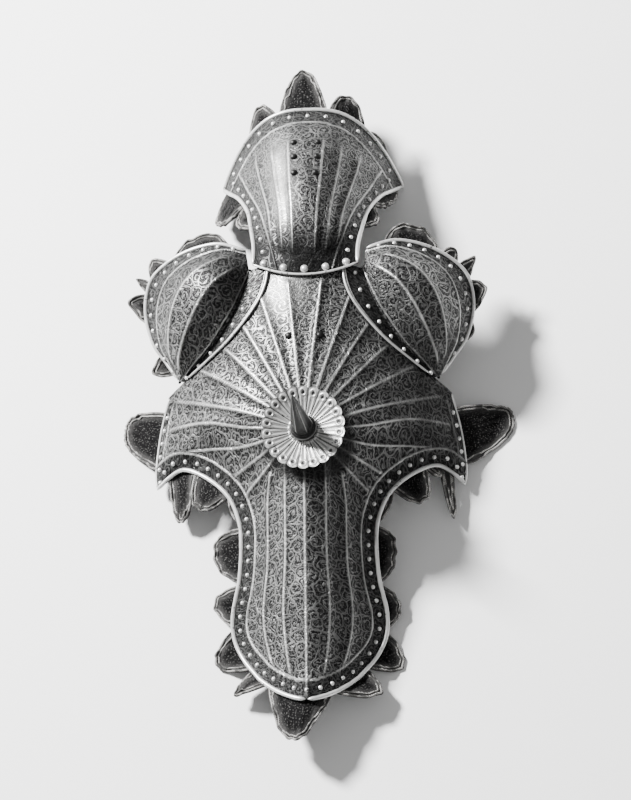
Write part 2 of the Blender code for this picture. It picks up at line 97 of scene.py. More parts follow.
# Ornament
MAIN_GRID = (330, 118)
POLL_GRID = (170, 90)
EAR_GRID = (180, 34, 110)
INNER_STEP = 3
BAND_WIDTH = 0.0175
BAND_SINK = 0.0005
RIM_RADIUS = 0.0021
WING_RIM_RADIUS = 0.0013
LINE_RADIUS = 0.00085
FLUTE_HEIGHT = 0.0006
FLUTE_WIDTH = 0.00085
FLUTE_SWELL = 0.0017
FLUTE_SPREAD = 0.0052
FLUTE_BORDER = 0.0026
BAND_RIVET_WIDTH = 0.0036
BAND_RIVET_STEP = 0.0135

# Camera and light, in degrees and metres
CAMERA_NOSEWARD = 20.0
CAMERA_RIGHTWARD = 4.0
CAMERA_ROLL = 0.3
CAMERA_DISTANCE = 4.2
CAMERA_LENS = 196.0

# The CAD model's rows across half of each plate, as its source gives them
Row = namedtuple("Row", "ridge edge size half high low bend arch crease flare corner")

MAIN_ROWS = (
    Row(0.000, 0.008, "neck", 1.00, 0.96, 0.925, 1.5, 2.0, 0.02, 0.0, True),
    Row(0.043, 0.062, "neck", 1.25, 0.96, 0.890, 1.5, 2.0, 0.02, 0.0, False),
    Row(0.095, 0.107, "neck", 1.53, 0.97, 0.830, 1.5, 2.0, 0.02, 0.0, False),
    Row(0.157, 0.171, "wing", 0.55, 0.98, 0.690, 2.0, 2.0, 0.02, 0.0, False),
    Row(0.200, 0.215, "wing", 0.71, 0.99, 0.520, 2.2, 2.0, 0.03, 0.0, False),
    Row(0.233, 0.264, "wing", 0.91, 1.00, 0.300, 2.5, 2.0, 0.04, 0.1, True),
    Row(0.300, 0.347, "wing", 0.97, 0.99, 0.185, 3.0, 2.1, 0.05, 0.2, False),
    Row(0.347, 0.430, "wing", 1.00, 0.97, 0.115, 4.0, 2.1, 0.06, 0.2, False),
    Row(0.371, 0.472, "wing", 0.99, 0.96, 0.100, 5.0, 2.1, 0.07, 0.3, True),
    Row(0.385, 0.447, "wing", 0.90, 0.95, 0.170, 4.0, 2.1, 0.08, 0.4, False),
    Row(0.400, 0.438, "wing", 0.80, 0.94, 0.260, 3.0, 2.1, 0.09, 0.5, False),
    Row(0.423, 0.468, "wing", 0.65, 0.92, 0.360, 2.5, 2.1, 0.10, 0.6, False),
    Row(0.466, 0.515, "nose", 1.05, 0.87, 0.410, 2.0, 2.1, 0.14, 0.7, False),
    Row(0.513, 0.572, "nose", 0.91, 0.78, 0.415, 2.0, 2.1, 0.18, 0.7, False),
    Row(0.570, 0.625, "nose", 0.88, 0.68, 0.400, 2.0, 2.1, 0.20, 0.7, False),
    Row(0.684, 0.703, "nose", 0.91, 0.49, 0.350, 2.0, 2.1, 0.22, 0.7, False),
    Row(0.770, 0.774, "nose", 1.00, 0.36, 0.230, 2.0, 2.1, 0.22, 0.7, False),
    Row(0.836, 0.828, "nose", 0.99, 0.25, 0.170, 2.0, 2.1, 0.22, 0.7, False),
    Row(0.917, 0.879, "nose", 0.87, 0.12, 0.220, 2.0, 2.1, 0.22, 0.7, False),
    Row(1.000, 0.934, "nose", 0.65, 0.00, 0.480, 1.7, 2.0, 0.20, 0.5, True),
)

POLL_ROWS = (
    Row(0.00, 0.075, "poll_neck", 1.00, 0.000, 0.940, 2.0, 2.0, 0.0, 0.0, True),
    Row(0.10, 0.187, "poll_neck", 1.00, 0.500, 0.830, 2.0, 2.0, 0.0, 0.2, False),
    Row(0.23, 0.326, "poll_neck", 1.08, 0.950, 0.690, 2.0, 2.1, 0.0, 0.3, False),
    Row(0.36, 0.444, "poll_neck", 1.17, 1.000, 0.560, 2.0, 2.2, 0.0, 0.4, False),
    Row(0.53, 0.561, "poll_span", 0.78, 0.720, 0.395, 2.0, 2.3, 0.0, 0.4, False),
    Row(0.76, 0.642, "poll_span", 0.90, -0.400, 0.230, 2.4, 2.5, 0.0, 0.2, False),
    Row(1.00, 0.714, "poll_span", 1.00, -2.800, 0.026, 2.8, 2.8, 0.0, 0.0, True),
)

# Row of the main plate, and the flange's inner and outer edge as shares of that row
EAR_FLANGE = (
    (0.0, 0.86, 1.34), (1.0, 0.76, 1.24), (2.0, 0.78, 1.15), (3.0, 0.86, 1.09), (4.0, 0.91, 1.04),
    (4.5, 0.94, 1.01),
)
# Shares of half the span over both ears, of the ear guard's length and of its rim's height
EAR_MOUTH = (
    (0.365, 0.935, 0.955), (0.545, 1.000, 0.930), (0.745, 0.970, 0.820), (0.900, 0.880, 0.690),
    (0.978, 0.765, 0.590), (1.000, 0.565, 0.490), (0.956, 0.340, 0.430), (0.875, 0.185, 0.405),
    (0.800, 0.045, 0.410),
)

# A tab of the lining: start, tip and end along its strip, reach, roundness, lean along the strip
Tab = namedtuple("Tab", "start tip end reach round lean", defaults=(0.0,))
# A strip of lining: its name, rim, where it runs on it, side, droop, tuck and tabs
Strip = namedtuple("Strip", "name rim first last side droop tuck tabs")

STRIPS = (
    Strip("poll_lining", "poll", 6.13, 7.87, 1, LINING_DROOP, LINING_TUCK, (
        Tab(0.00, 0.05, 0.13, 0.30, 2.0), Tab(0.14, 0.25, 0.37, 0.75, 3.0),
        Tab(0.38, 0.54, 0.69, 1.50, 2.4), Tab(0.70, 0.82, 0.90, 0.72, 1.7))),
    Strip("nose_lining", "main", 18.55, 21.45, 1, LINING_DROOP, LINING_TUCK, (
        Tab(0.00, 0.16, 0.31, 0.80, 2.2, -0.25), Tab(0.33, 0.56, 0.78, 1.25, 2.6),
        Tab(0.80, 0.90, 1.00, 0.85, 2.2))),
    Strip("poll_side_lining_left", "poll", 5.75, 2.0, -1, LINING_DROOP, LINING_TUCK, (
        Tab(0.02, 0.28, 0.58, 1.10, 2.6, 0.25), Tab(0.60, 0.78, 1.00, 0.50, 1.8))),
    Strip("poll_side_lining_right", "poll", 5.75, 2.0, 1, LINING_DROOP, LINING_TUCK, (
        Tab(0.05, 0.30, 0.60, 0.40, 2.4), Tab(0.60, 0.78, 1.00, 0.45, 1.8))),
    Strip("ear_lining_left", "ear", 0.05, 0.97, -1, LINING_DROOP, LINING_TUCK, (
        Tab(0.02, 0.15, 0.28, 0.42, 3.0), Tab(0.30, 0.39, 0.46, 0.50, 1.9),
        Tab(0.46, 0.50, 0.53, 0.55, 1.7), Tab(0.53, 0.60, 0.68, 0.62, 2.0),
        Tab(0.84, 0.92, 1.00, 0.60, 2.2))),
    Strip("ear_lining_right", "ear", 0.05, 0.97, 1, LINING_DROOP, LINING_TUCK, (
        Tab(0.02, 0.15, 0.27, 0.62, 3.0), Tab(0.27, 0.32, 0.37, 0.40, 1.9),
        Tab(0.37, 0.43, 0.49, 0.60, 1.7), Tab(0.49, 0.57, 0.66, 0.50, 2.0),
        Tab(0.68, 0.74, 0.80, 0.20, 1.8))),
    Strip("wing_lining_left", "main", 5.3, 7.0, -1, FLOOR_DROOP, LINING_TUCK, (
        Tab(0.05, 0.45, 0.95, 1.33, 3.4),)),
    Strip("wing_lining_right", "main", 5.3, 7.0, 1, FLOOR_DROOP, LINING_TUCK, (
        Tab(0.05, 0.45, 0.95, 1.80, 3.4),)),
    Strip("eye_lining_left", "main", 8.85, 13.15, -1, LINING_DROOP, EYE_TUCK, (
        Tab(0.00, 0.17, 0.37, 1.60, 3.0, -0.35), Tab(0.37, 0.54, 0.73, 0.95, 2.6, 0.05),
        Tab(0.73, 0.86, 1.00, 0.15, 2.0))),
    Strip("eye_lining_right", "main", 8.85, 13.15, 1, LINING_DROOP, EYE_TUCK, (
        Tab(0.00, 0.08, 0.20, 1.55, 2.6, -0.90), Tab(0.20, 0.27, 0.35, 0.40, 2.0, -0.40),
        Tab(0.35, 0.50, 0.68, 0.90, 2.8), Tab(0.68, 0.84, 1.00, 0.20, 2.0))),
    Strip("cheek_lining_left", "main", 13.3, 18.45, -1, FLOOR_DROOP, LINING_TUCK, (
        Tab(0.00, 0.18, 0.35, 0.92, 2.8), Tab(0.36, 0.49, 0.63, 0.70, 2.4),
        Tab(0.64, 0.83, 1.00, 0.82, 2.4))),
    Strip("cheek_lining_right", "main", 13.3, 18.45, 1, FLOOR_DROOP, LINING_TUCK, (
        Tab(0.00, 0.18, 0.36, 0.60, 2.6), Tab(0.37, 0.51, 0.66, 0.45, 2.4),
        Tab(0.68, 0.86, 1.00, 0.82, 2.2))),
)

HALF_WIDTHS = {
    "neck": NECK_WIDTH / 2,
    "wing": WING_SPAN / 2,
    "nose": NOSE_WIDTH / 2,
    "poll_neck": POLL_NECK_WIDTH / 2,
    "poll_span": POLL_SPAN / 2,
}
UP = np.array((0.0, 0.0, 1.0))


def smooth(values, place, corners=()):
    """Read a smooth curve through values at fractional indices, with a break of slope at each corner."""
    values = np.asarray(values, float)
    place = np.asarray(place, float)
    last = len(values) - 1
    broken = np.zeros(last + 1, bool)
    broken[[0, last, *corners]] = True
    index = np.clip(np.floor(place).astype(int), 0, last - 1)
    share = place - index
    here, there = values[index], values[index + 1]
    step = there - here
    slope_here = np.where(broken[index], step, (there - values[np.maximum(index - 1, 0)]) / 2)
    beyond = values[np.minimum(index + 2, last)]
    slope_there = np.where(broken[index + 1], step, (beyond - here) / 2)
    curve = here + step * (3 * share ** 2 - 2 * share ** 3)
    curve += slope_here * (share - 2 * share ** 2 + share ** 3) + slope_there * (share ** 3 - share ** 2)
    before = here + slope_here * share
    after = there + slope_there * (share - 1)
    return np.where(share < 0, before, np.where(share > 1, after, curve))


class Sheet:
    """A plate's outer surface, as the CAD model's source makes it, for arrays of rows and shares."""

    def __init__(self, rows, start, length, low_end, high_end):
        self.rows = rows
        self.last = len(rows) - 1
        self.corners = [index for index, row in enumerate(rows) if row.corner]
        self.ridge_y = [start + length * row.ridge for row in rows]
        self.edge_y = [start + length * row.edge for row in rows]
        self.half = [row.half * HALF_WIDTHS[row.size] for row in rows]
        self.top = [low_end + (high_end - low_end) * row.high for row in rows]
        self.foot = [top * row.low for top, row in zip(self.top, rows)]

    def column(self, name, place):
        return smooth([getattr(row, name) for row in self.rows], place)

    def point(self, place, share):
        place, share = np.broadcast_arrays(np.asarray(place, float), np.asarray(share, float))
        out = np.abs(share)
        ridge_y = smooth(self.ridge_y, place)
        edge_y = smooth(self.edge_y, place, self.corners)
        half = smooth(self.half, place, self.corners)
        top = smooth(self.top, place)
        foot = smooth(self.foot, place, self.corners)
        crease, flare = self.column("crease", place), self.column("flare", place)
        arch = out ** self.column("arch", place)
        bell = np.where(out > 1, arch, out ** 2 * (3 - 2 * out))
        fall = crease * out + (1 - crease) * ((1 - flare) * arch + flare * bell)
        y = ridge_y + (edge_y - ridge_y) * out ** self.column("bend", place)
        return np.stack((half * share, y, top - (top - foot) * fall), axis=-1)

    def normal(self, place, share):
        step = 0.01
        across = self.point(place, np.asarray(share) + step) - self.point(place, np.asarray(share) - step)
        along = self.point(np.asarray(place) + step, share) - self.point(np.asarray(place) - step, share)
        return upward(np.cross(across, along))

    def raised(self, place, share, height):
        return self.point(place, share) + self.normal(place, share) * height


def unit(ways):
    return ways / np.maximum(np.linalg.norm(ways, axis=-1, keepdims=True), 1e-12)


def upward(ways):
    ways = unit(ways)
    return np.where(ways[..., 2:3] < 0, -ways, ways)


MAIN = Sheet(MAIN_ROWS, NECK_Y, -MAIN_LENGTH, NOSE_HEIGHT, BROW_HEIGHT)
POLL_FOOT_HEIGHT = float(MAIN.point(0.5, 0)[2]) + PLATE + LAP_GAP
POLL = Sheet(POLL_ROWS, NECK_Y - POLL_LAP, POLL_LENGTH, POLL_FOOT_HEIGHT, POLL_FOOT_HEIGHT + POLL_CREST)


def flange_place(share):
    place = np.asarray(share) * (len(EAR_FLANGE) - 1)
    return tuple(smooth([each[column] for each in EAR_FLANGE], place) for column in range(3))


def mouth_point(share):
    place = np.asarray(share) * (len(EAR_MOUTH) - 1)
    out, up, high = (smooth([each[column] for each in EAR_MOUTH], place) for column in range(3))
    foot = MAIN.point(4.5, 1)
    return np.stack((out * EAR_SPAN / 2, foot[1] + up * EAR_LENGTH, high * EAR_RIM_HEIGHT), axis=-1)


def hump(share):
    return np.maximum(0.0, np.sin(pi * np.clip(share, 0, None)))


def ear_point(share, across):
    """Outer surface of the right ear guard: 0 to 1 is the dome, below 0 the flange on the main plate."""
    share, across = np.broadcast_arrays(np.asarray(share, float), np.asarray(across, float))
    row, inner, outer = flange_place(share)
    lift = PLATE + LAP_GAP
    flange = MAIN.raised(row, outer + (outer - inner) * np.minimum(across, 0), lift)
    over = np.maximum(across, 0)
    dome = EAR_DOME * hump(share) ** 0.8 * hump(over ** 0.75) ** 1.25
    shell = flange + (mouth_point(share) - flange) * over[..., None]
    shell[..., 2] += dome
    return shell


def facing_of(surface, row, across):
    step = 0.01
    down = surface(row + step, across) - surface(row - step, across)
    over = surface(row, across + step) - surface(row, across - step)
    return upward(np.cross(down, over))


def outline_spot(sheet, place):
    """Rows and shares on a plate's outline: down one side, along the last row and back up the other."""
    place = np.asarray(place, float)
    last = sheet.last
    row = np.where(place <= last, place, np.where(place <= last + 2, last, 2 * last + 2 - place))
    share = np.where(place <= last, 1.0, np.where(place <= last + 2, 1.0 - (place - last), -1.0))
    return row, share


def rim_frame(surface, spot, last, turn, places):
    """Points along an outline, and the ways out of the surface there, along it and up from it."""
    step = 0.02
    places = np.asarray(places, float)
    edge = surface(*spot(places))
    run = unit(surface(*spot(places + step)) - surface(*spot(places - step)))
    row, share = spot(places)
    up = facing_of(surface, np.minimum(row, last - step), np.clip(share, step - 1, 1 - step))
    out = unit(np.cross(up, run)) * turn
    return edge, out, run, up


def main_rim(places):
    return rim_frame(MAIN.point, lambda spot: outline_spot(MAIN, spot), MAIN.last, 1, places)


def poll_rim(places):
    return rim_frame(POLL.point, lambda spot: outline_spot(POLL, spot), POLL.last, -1, places)


def ear_rim(places):
    return rim_frame(ear_point, lambda spot: (spot, np.ones_like(spot)), 1, 1, places)


RIMS = {"main": main_rim, "poll": poll_rim, "ear": ear_rim}


def place_piece(name, mesh, finish, side=1):
    """Link a piece built about the ridge, mirrored for the left side, and set it over the CAD model."""
    if side < 0:
        mesh.transform(Matrix.Scale(-1, 4, Vector((1, 0, 0))))
        mesh.flip_normals()
    mesh.transform(Matrix.Translation(Vector((-OFF_CENTRE, 0, 0))))
    piece = bpy.data.objects.new(name, mesh)
    mesh.materials.append(finish)
    bpy.context.scene.collection.objects.link(piece)
    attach(piece, "root")
    return piece


def mesh_of(name, points, faces, fields=None, uv=None):
    """A smooth mesh from arrays, with named values for each point and a map in metres."""
    mesh = bpy.data.meshes.new(name)
    mesh.from_pydata(points.tolist(), [], faces)
    for field, values in (fields or {}).items():
        layer = mesh.attributes.new(field, "FLOAT", "POINT")
        layer.data.foreach_set("value", np.asarray(values, np.float32))
    if uv is not None:
        corners = np.empty(len(mesh.loops), int)
        mesh.loops.foreach_get("vertex_index", corners)
        layer = mesh.uv_layers.new(name="Surface")
        layer.data.foreach_set("uv", np.asarray(uv, np.float32)[corners].ravel())
    mesh.shade_smooth()
    return mesh


def grid_normals(points):
    along, across = np.gradient(points, axis=0), np.gradient(points, axis=1)
    normals = unit(np.cross(across, along))
    return normals if normals[..., 2].mean() > 0 else -normals


def quads(first, rows, columns):
    index = first + np.arange(rows * columns).reshape(rows, columns)
    return np.stack((index[:-1, :-1], index[:-1, 1:], index[1:, 1:], index[1:, :-1]), axis=-1).reshape(-1, 4)


def facing_up(points, faces):
    a, b, c = (points[faces[:, column]] for column in (0, 1, 2))
    return np.cross(b - a, c - a)[:, 2].sum() > 0


def winds_with(faces, start, end):
    """Whether the strip may run from start to end, as no face of the skin does."""
    starts, ends = faces.ravel(), np.roll(faces, -1, axis=1).ravel()
    return not np.any((starts == start) & (ends == end))


def shell_mesh(name, outer, inner, fields=None, uv=None, inner_step=1):
    """A closed shell: a grid of outer points, a coarser inner grid and a strip round the edge."""
    rows, columns = outer.shape[:2]
    keep_rows = sorted({*range(0, rows, inner_step), rows - 1})
    keep_columns = sorted({*range(0, columns, inner_step), columns - 1})
    coarse = inner[np.ix_(keep_rows, keep_columns)]
    index = np.arange(rows * columns).reshape(rows, columns)
    ring = np.concatenate((index[0, :], index[1:, -1], index[-1, -2::-1], index[-2:0:-1, 0]))
    flat = outer.reshape(-1, 3)
    # a coarser inner grid can't share its edge with the strip, so the strip then has points of its own
    copied = ring if inner_step > 1 else ring[:0]
    seam = len(flat) + (np.arange(len(ring)) if inner_step > 1 else ring)
    points = np.concatenate((flat, inner.reshape(-1, 3)[copied], coarse.reshape(-1, 3)))
    skin = quads(0, rows, columns)
    if not facing_up(flat, skin):
        skin = skin[:, ::-1]
    back = quads(len(flat) + len(copied), len(keep_rows), len(keep_columns))
    if facing_up(points, back):
        back = back[:, ::-1]
    after = np.roll(ring, -1)
    strip = np.stack((ring, after, np.roll(seam, -1), seam), axis=-1)
    if not winds_with(skin, ring[0], after[0]):
        strip = strip[:, ::-1]
    faces = np.concatenate((skin, strip, back)).tolist()
    padded = {}
    for field, values in (fields or {}).items():
        values = np.asarray(values, float).ravel()
        padded[field] = np.concatenate((values, values[copied], np.zeros(coarse[..., 0].size)))
    if uv is not None:
        around = uv.reshape(-1, 2)
        uv = np.concatenate((around, around[copied], uv[np.ix_(keep_rows, keep_columns)].reshape(-1, 2)))
    return mesh_of(name, points, faces, padded, uv)


def surface_map(points):
    """Metres along and across a grid: arc length across from its middle column, and place along it."""
    step = np.linalg.norm(np.diff(points, axis=1), axis=-1)
    across = np.concatenate((np.zeros((len(points), 1)), np.cumsum(step, axis=1)), axis=1)
    across -= across[:, points.shape[1] // 2][:, None]
    middle = points[:, points.shape[1] // 2]
    run = np.concatenate(((0.0,), np.cumsum(np.linalg.norm(np.diff(middle, axis=0), axis=-1))))
    return np.stack((across, np.broadcast_to(run[:, None], across.shape)), axis=-1)


def tube_parts(path, radius, sides=10, first=0, closed=False):
    """Points and faces of a round tube along a path, its radius one number or one for each point."""
    path = np.asarray(path, float)
    count = len(path)
    radius = np.broadcast_to(np.asarray(radius, float), (count,))
    run = unit(np.gradient(path, axis=0))
    side = unit(np.cross(run[0], UP) if abs(run[0][2]) < 0.9 else np.cross(run[0], (1.0, 0, 0)))
    rings = []
    for point, way, reach in zip(path, run, radius):
        side = unit(side - way * side.dot(way))
        other = np.cross(way, side)
        turns = 2 * pi * np.arange(sides) / sides
        rings.append(point + reach * (np.outer(np.cos(turns), side) + np.outer(np.sin(turns), other)))
    points = np.concatenate(rings)
    faces = []
    for ring in range(count if closed else count - 1):
        here, there = first + ring * sides, first + (ring + 1) % count * sides
        for index in range(sides):
            after = (index + 1) % sides
            faces.append((here + index, here + after, there + after, there + index))
    if not closed:
        faces.append(tuple(first + index for index in reversed(range(sides))))
        faces.append(tuple(first + (count - 1) * sides + index for index in range(sides)))
    return points, faces


def tubes_mesh(name, paths, radius, sides=10, closed=False):
    points, faces, first = [], [], 0
    for path in paths:
        more, shape = tube_parts(path, radius, sides, first, closed)
        points.append(more)
        faces += shape
        first += len(more)
    return mesh_of(name, np.concatenate(points), faces)


def even_path(path, step):
    """The same path with its points evenly spaced."""
    path = np.asarray(path, float)
    run = np.concatenate(((0.0,), np.cumsum(np.linalg.norm(np.diff(path, axis=0), axis=-1))))
    places = np.linspace(0, run[-1], max(3, int(round(run[-1] / step)) + 1))
    return np.stack([np.interp(places, run, path[:, axis]) for axis in range(3)], axis=-1)


def path_distance(points, paths):
    """Distance of each point to the nearest of some polylines, and how far along that polyline it is."""
    flat = points.reshape(-1, points.shape[-1])
    best = np.full(len(flat), 9.0)
    along = np.zeros(len(flat))
    for path in paths:
        path = np.asarray(path, float)
        for index, (a, b) in enumerate(zip(path, path[1:])):
            way = b - a
            share = np.clip((flat - a) @ way / max(way @ way, 1e-12), 0, 1)
            away = np.linalg.norm(flat - a - share[:, None] * way, axis=-1)
            nearer = away < best
            best[nearer] = away[nearer]
            along[nearer] = (index + share[nearer]) / (len(path) - 1)
    return best.reshape(points.shape[:-1]), along.reshape(points.shape[:-1])


def ridge_of(distance, width):
    return np.exp(-(distance / width) ** 2)


def ease(low, high, values):
    share = np.clip((values - low) / (high - low), 0, 1)
    return share * share * (3 - 2 * share)


def head_parts(width, height, sides=12, rings=4, skirt=1.0):
    """A domed rivet head with a thin skirt, as points and faces about +Z."""
    radius = width / 2
    profile = [(radius * 1.18 * skirt, 0.0), (radius * 1.18 * skirt, height * 0.16), (radius, height * 0.24)]
    for turn in np.linspace(0, pi / 2, rings + 1)[1:-1]:
        profile.append((radius * cos(turn), height * (0.24 + 0.76 * sin(turn))))
    points = [(out * cos(2 * pi * index / sides), out * sin(2 * pi * index / sides), high)
              for out, high in profile for index in range(sides)]
    points.append((0, 0, height))
    faces = []
    for ring in range(len(profile) - 1):
        for index in range(sides):
            after = (index + 1) % sides
            low, high = ring * sides, (ring + 1) * sides
            faces.append((low + index, low + after, high + after, high + index))
    top = (len(profile) - 1) * sides
    for index in range(sides):
        faces.append((top + index, top + (index + 1) % sides, len(points) - 1))
    faces.append(tuple(reversed(range(sides))))
    return np.array(points), faces


def scattered_mesh(name, shape, spots):
    """Copies of a small shape, each with its +Z turned along a facing, joined in one mesh."""
    base, faces = shape
    points, joined = [], []
    for index, (point, facing) in enumerate(spots):
        turn = np.array(Vector(facing).to_track_quat("Z", "Y").to_matrix())
        points.append(base @ turn.T + np.asarray(point))
        first = index * len(base)
        joined += [tuple(first + corner for corner in face) for face in faces]
    return mesh_of(name, np.concatenate(points), joined)


class Ground:
    """A dense grid of a plate, to set rivets and lines on."""

    def __init__(self, points):
        rows, columns = points.shape[:2]
        self.tree = BVHTree.FromPolygons(points.reshape(-1, 3).tolist(), quads(0, rows, columns).tolist())

    def nearest(self, point):
        spot, normal = self.tree.find_nearest(Vector(point))[:2]
        normal = np.array(normal)
        return np.array(spot), normal if normal[2] > 0 else -normal

    def dropped(self, plan):
        """Points of the plate straight below a line in its plan, as far as the plate's edge."""
        found = []
        for x, y in plan:
            hit = self.tree.ray_cast(Vector((x, y, 1.0)), Vector((0, 0, -1)))[0]
            if hit is None:
                break
            found.append(hit)
        return np.array(found)


def inset_path(rim, first, last, count, inset, ground, lift=0.0):
    """Points on a plate a set way in from its rim, with the plate's facing at each."""
    edge, out, _, _ = rim(np.linspace(first, last, count))
    found = [ground.nearest(point - way * inset) for point, way in zip(edge, out)]
    return np.array([spot + facing * lift for spot, facing in found]), [facing for _, facing in found]


def spaced_rivets(rim, first, last, inset, step, ground):
    """Evenly spaced spots for rivets along a rim."""
    path, _ = inset_path(rim, first, last, 240, inset, ground)
    return [ground.nearest(point) for point in even_path(path, step)]


def feed(tree, target, value):
    """Join a socket to an input, or set the input to a number."""
    if isinstance(value, bpy.types.NodeSocket):
        tree.links.new(value, target)
    elif value is not None:
        target.default_value = value


def number(tree, operation, first, second=None, third=None, clamp=False):
    made = tree.nodes.new("ShaderNodeMath")
    made.operation = operation
    made.use_clamp = clamp
    for target, value in zip(made.inputs, (first, second, third)):
        feed(tree, target, value)
    return made.outputs[0]


def vector_math(tree, operation, first, second=None, scale=None):
    made = tree.nodes.new("ShaderNodeVectorMath")
    made.operation = operation
    feed(tree, made.inputs[0], first)
    feed(tree, made.inputs[1], second)
    if scale is not None:
        feed(tree, made.inputs["Scale"], scale)
    return made.outputs["Value"] if operation in ("LENGTH", "DISTANCE", "DOT_PRODUCT") else made.outputs[0]


def blend_numbers(tree, share, low, high):
    made = tree.nodes.new("ShaderNodeMapRange")
    made.clamp = True
    feed(tree, made.inputs["Value"], share)
    feed(tree, made.inputs["To Min"], low)
    feed(tree, made.inputs["To Max"], high)
    return made.outputs[0]


def soft_step(tree, value, low, high):
    """0 below low, 1 above high and smooth between; low may be the larger, for a falling step."""
    made = tree.nodes.new("ShaderNodeMapRange")
    made.interpolation_type = "SMOOTHSTEP"
    turned = low > high
    feed(tree, made.inputs["Value"], value)
    made.inputs["From Min"].default_value = min(low, high)
    made.inputs["From Max"].default_value = max(low, high)
    made.inputs["To Min"].default_value = 1.0 if turned else 0.0
    made.inputs["To Max"].default_value = 0.0 if turned else 1.0
    return made.outputs[0]


def mix_colours(tree, share, low, high, blending="MIX"):
    made = tree.nodes.new("ShaderNodeMix")
    made.data_type = "RGBA"
    feed(tree, made.inputs["Factor"], share)
    made.blend_type = blending
    targets = [each for each in made.inputs if each.type == "RGBA"]
    for target, value in zip(targets, (low, high)):
        feed(tree, target, value if isinstance(value, bpy.types.NodeSocket) else (*value, 1.0))
    return [each for each in made.outputs if each.type == "RGBA"][0]


def noise(tree, vector, size, detail=3.0, roughness=0.5, stretch=None):
    """Fractal noise whose features are about the given size in metres."""
    place = vector
    if stretch is not None:
        place = vector_math(tree, "MULTIPLY", vector, stretch)
    made = tree.nodes.new("ShaderNodeTexNoise")
    feed(tree, made.inputs["Vector"], place)
    made.inputs["Scale"].default_value = 1.0 / size
    made.inputs["Detail"].default_value = detail
    made.inputs["Roughness"].default_value = roughness
    return made.outputs["Fac"]


def cells(tree, vector, size, feature="F1", randomness=1.0):
    made = tree.nodes.new("ShaderNodeTexVoronoi")
    made.voronoi_dimensions = "2D"
    made.feature = feature
    feed(tree, made.inputs["Vector"], vector)
    made.inputs["Scale"].default_value = 1.0 / size
    made.inputs["Randomness"].default_value = randomness
    return made


def attribute(tree, name):
    made = tree.nodes.new("ShaderNodeAttribute")
    made.attribute_name = name
    return made.outputs["Fac"]


def surface_place(tree):
    made = tree.nodes.new("ShaderNodeUVMap")
    made.uv_map = "Surface"
    return made.outputs[0]


def object_place(tree):
    return tree.nodes.new("ShaderNodeTexCoord").outputs["Object"]


def bump(tree, height, depth, strength=1.0, below=None):
    made = tree.nodes.new("ShaderNodeBump")
    made.inputs["Strength"].default_value = strength
    made.inputs["Distance"].default_value = depth
    feed(tree, made.inputs["Height"], height)
    if below is not None:
        feed(tree, made.inputs["Normal"], below)
    return made.outputs[0]


def new_material(name):
    made = bpy.data.materials.new(name)
    made.use_nodes = True
    return made, made.node_tree, made.node_tree.nodes["Principled BSDF"]


# Sizes of the etched pattern, in metres
SCROLL_CELL = 0.0125
SCROLL_PITCH = 0.0043
SCROLL_LINE = 0.00082
STEM_LINE = 0.0008
LEAF_CELL = 0.0046
DOT_CELL = 0.0019

DARK_GROUND = (0.006, 0.006, 0.0063)
DOT_STEEL = (0.060, 0.060, 0.059)
WORN_STEEL = (0.20, 0.20, 0.197)
BRIGHT_STEEL = (0.60, 0.60, 0.59)


def scrollwork(tree, place):
    """Etched scrolls: a spiral tendril in each cell, stems where cells meet. Returns how raised it is."""
    slow = vector_math(tree, "SCALE", vector_offset(tree, place, 0.014), scale=0.0085)
    quick = vector_math(tree, "SCALE", vector_offset(tree, place, 0.0042), scale=0.0034)
    bent = vector_math(tree, "ADD", place, vector_math(tree, "ADD", slow, quick))
    cell = cells(tree, bent, SCROLL_CELL)
    local = vector_math(tree, "SUBTRACT", bent, cell.outputs["Position"])
    parts = tree.nodes.new("ShaderNodeSeparateXYZ")
    feed(tree, parts.inputs[0], local)
    away = vector_math(tree, "LENGTH", local)
    turn = number(tree, "DIVIDE", number(tree, "ARCTAN2", parts.outputs[1], parts.outputs[0]), 2 * pi)
    arm = number(tree, "FRACT", number(tree, "ADD", number(tree, "DIVIDE", away, SCROLL_PITCH), turn))
    off_arm = number(tree, "MULTIPLY", number(tree, "ABSOLUTE", number(tree, "SUBTRACT", arm, 0.5)), SCROLL_PITCH)
    tendril = soft_step(tree, off_arm, SCROLL_LINE * 0.62, SCROLL_LINE * 0.34)
    border = cells(tree, bent, SCROLL_CELL, "DISTANCE_TO_EDGE").outputs["Distance"]
    stem = soft_step(tree, border, STEM_LINE / SCROLL_CELL, STEM_LINE * 0.5 / SCROLL_CELL)
    leaf = cells(tree, bent, LEAF_CELL).outputs["Distance"]
    leaves = number(tree, "MULTIPLY", soft_step(tree, leaf, 0.32, 0.17), soft_step(tree, border, 0.10, 0.22))
    return number(tree, "MAXIMUM", number(tree, "MAXIMUM", tendril, stem), leaves)


def vector_offset(tree, place, size):
    made = tree.nodes.new("ShaderNodeTexNoise")
    feed(tree, made.inputs["Vector"], place)
    made.inputs["Scale"].default_value = 1.0 / size
    made.inputs["Detail"].default_value = 1.0
    return vector_math(tree, "SUBTRACT", made.outputs["Color"], (0.5, 0.5, 0.5))


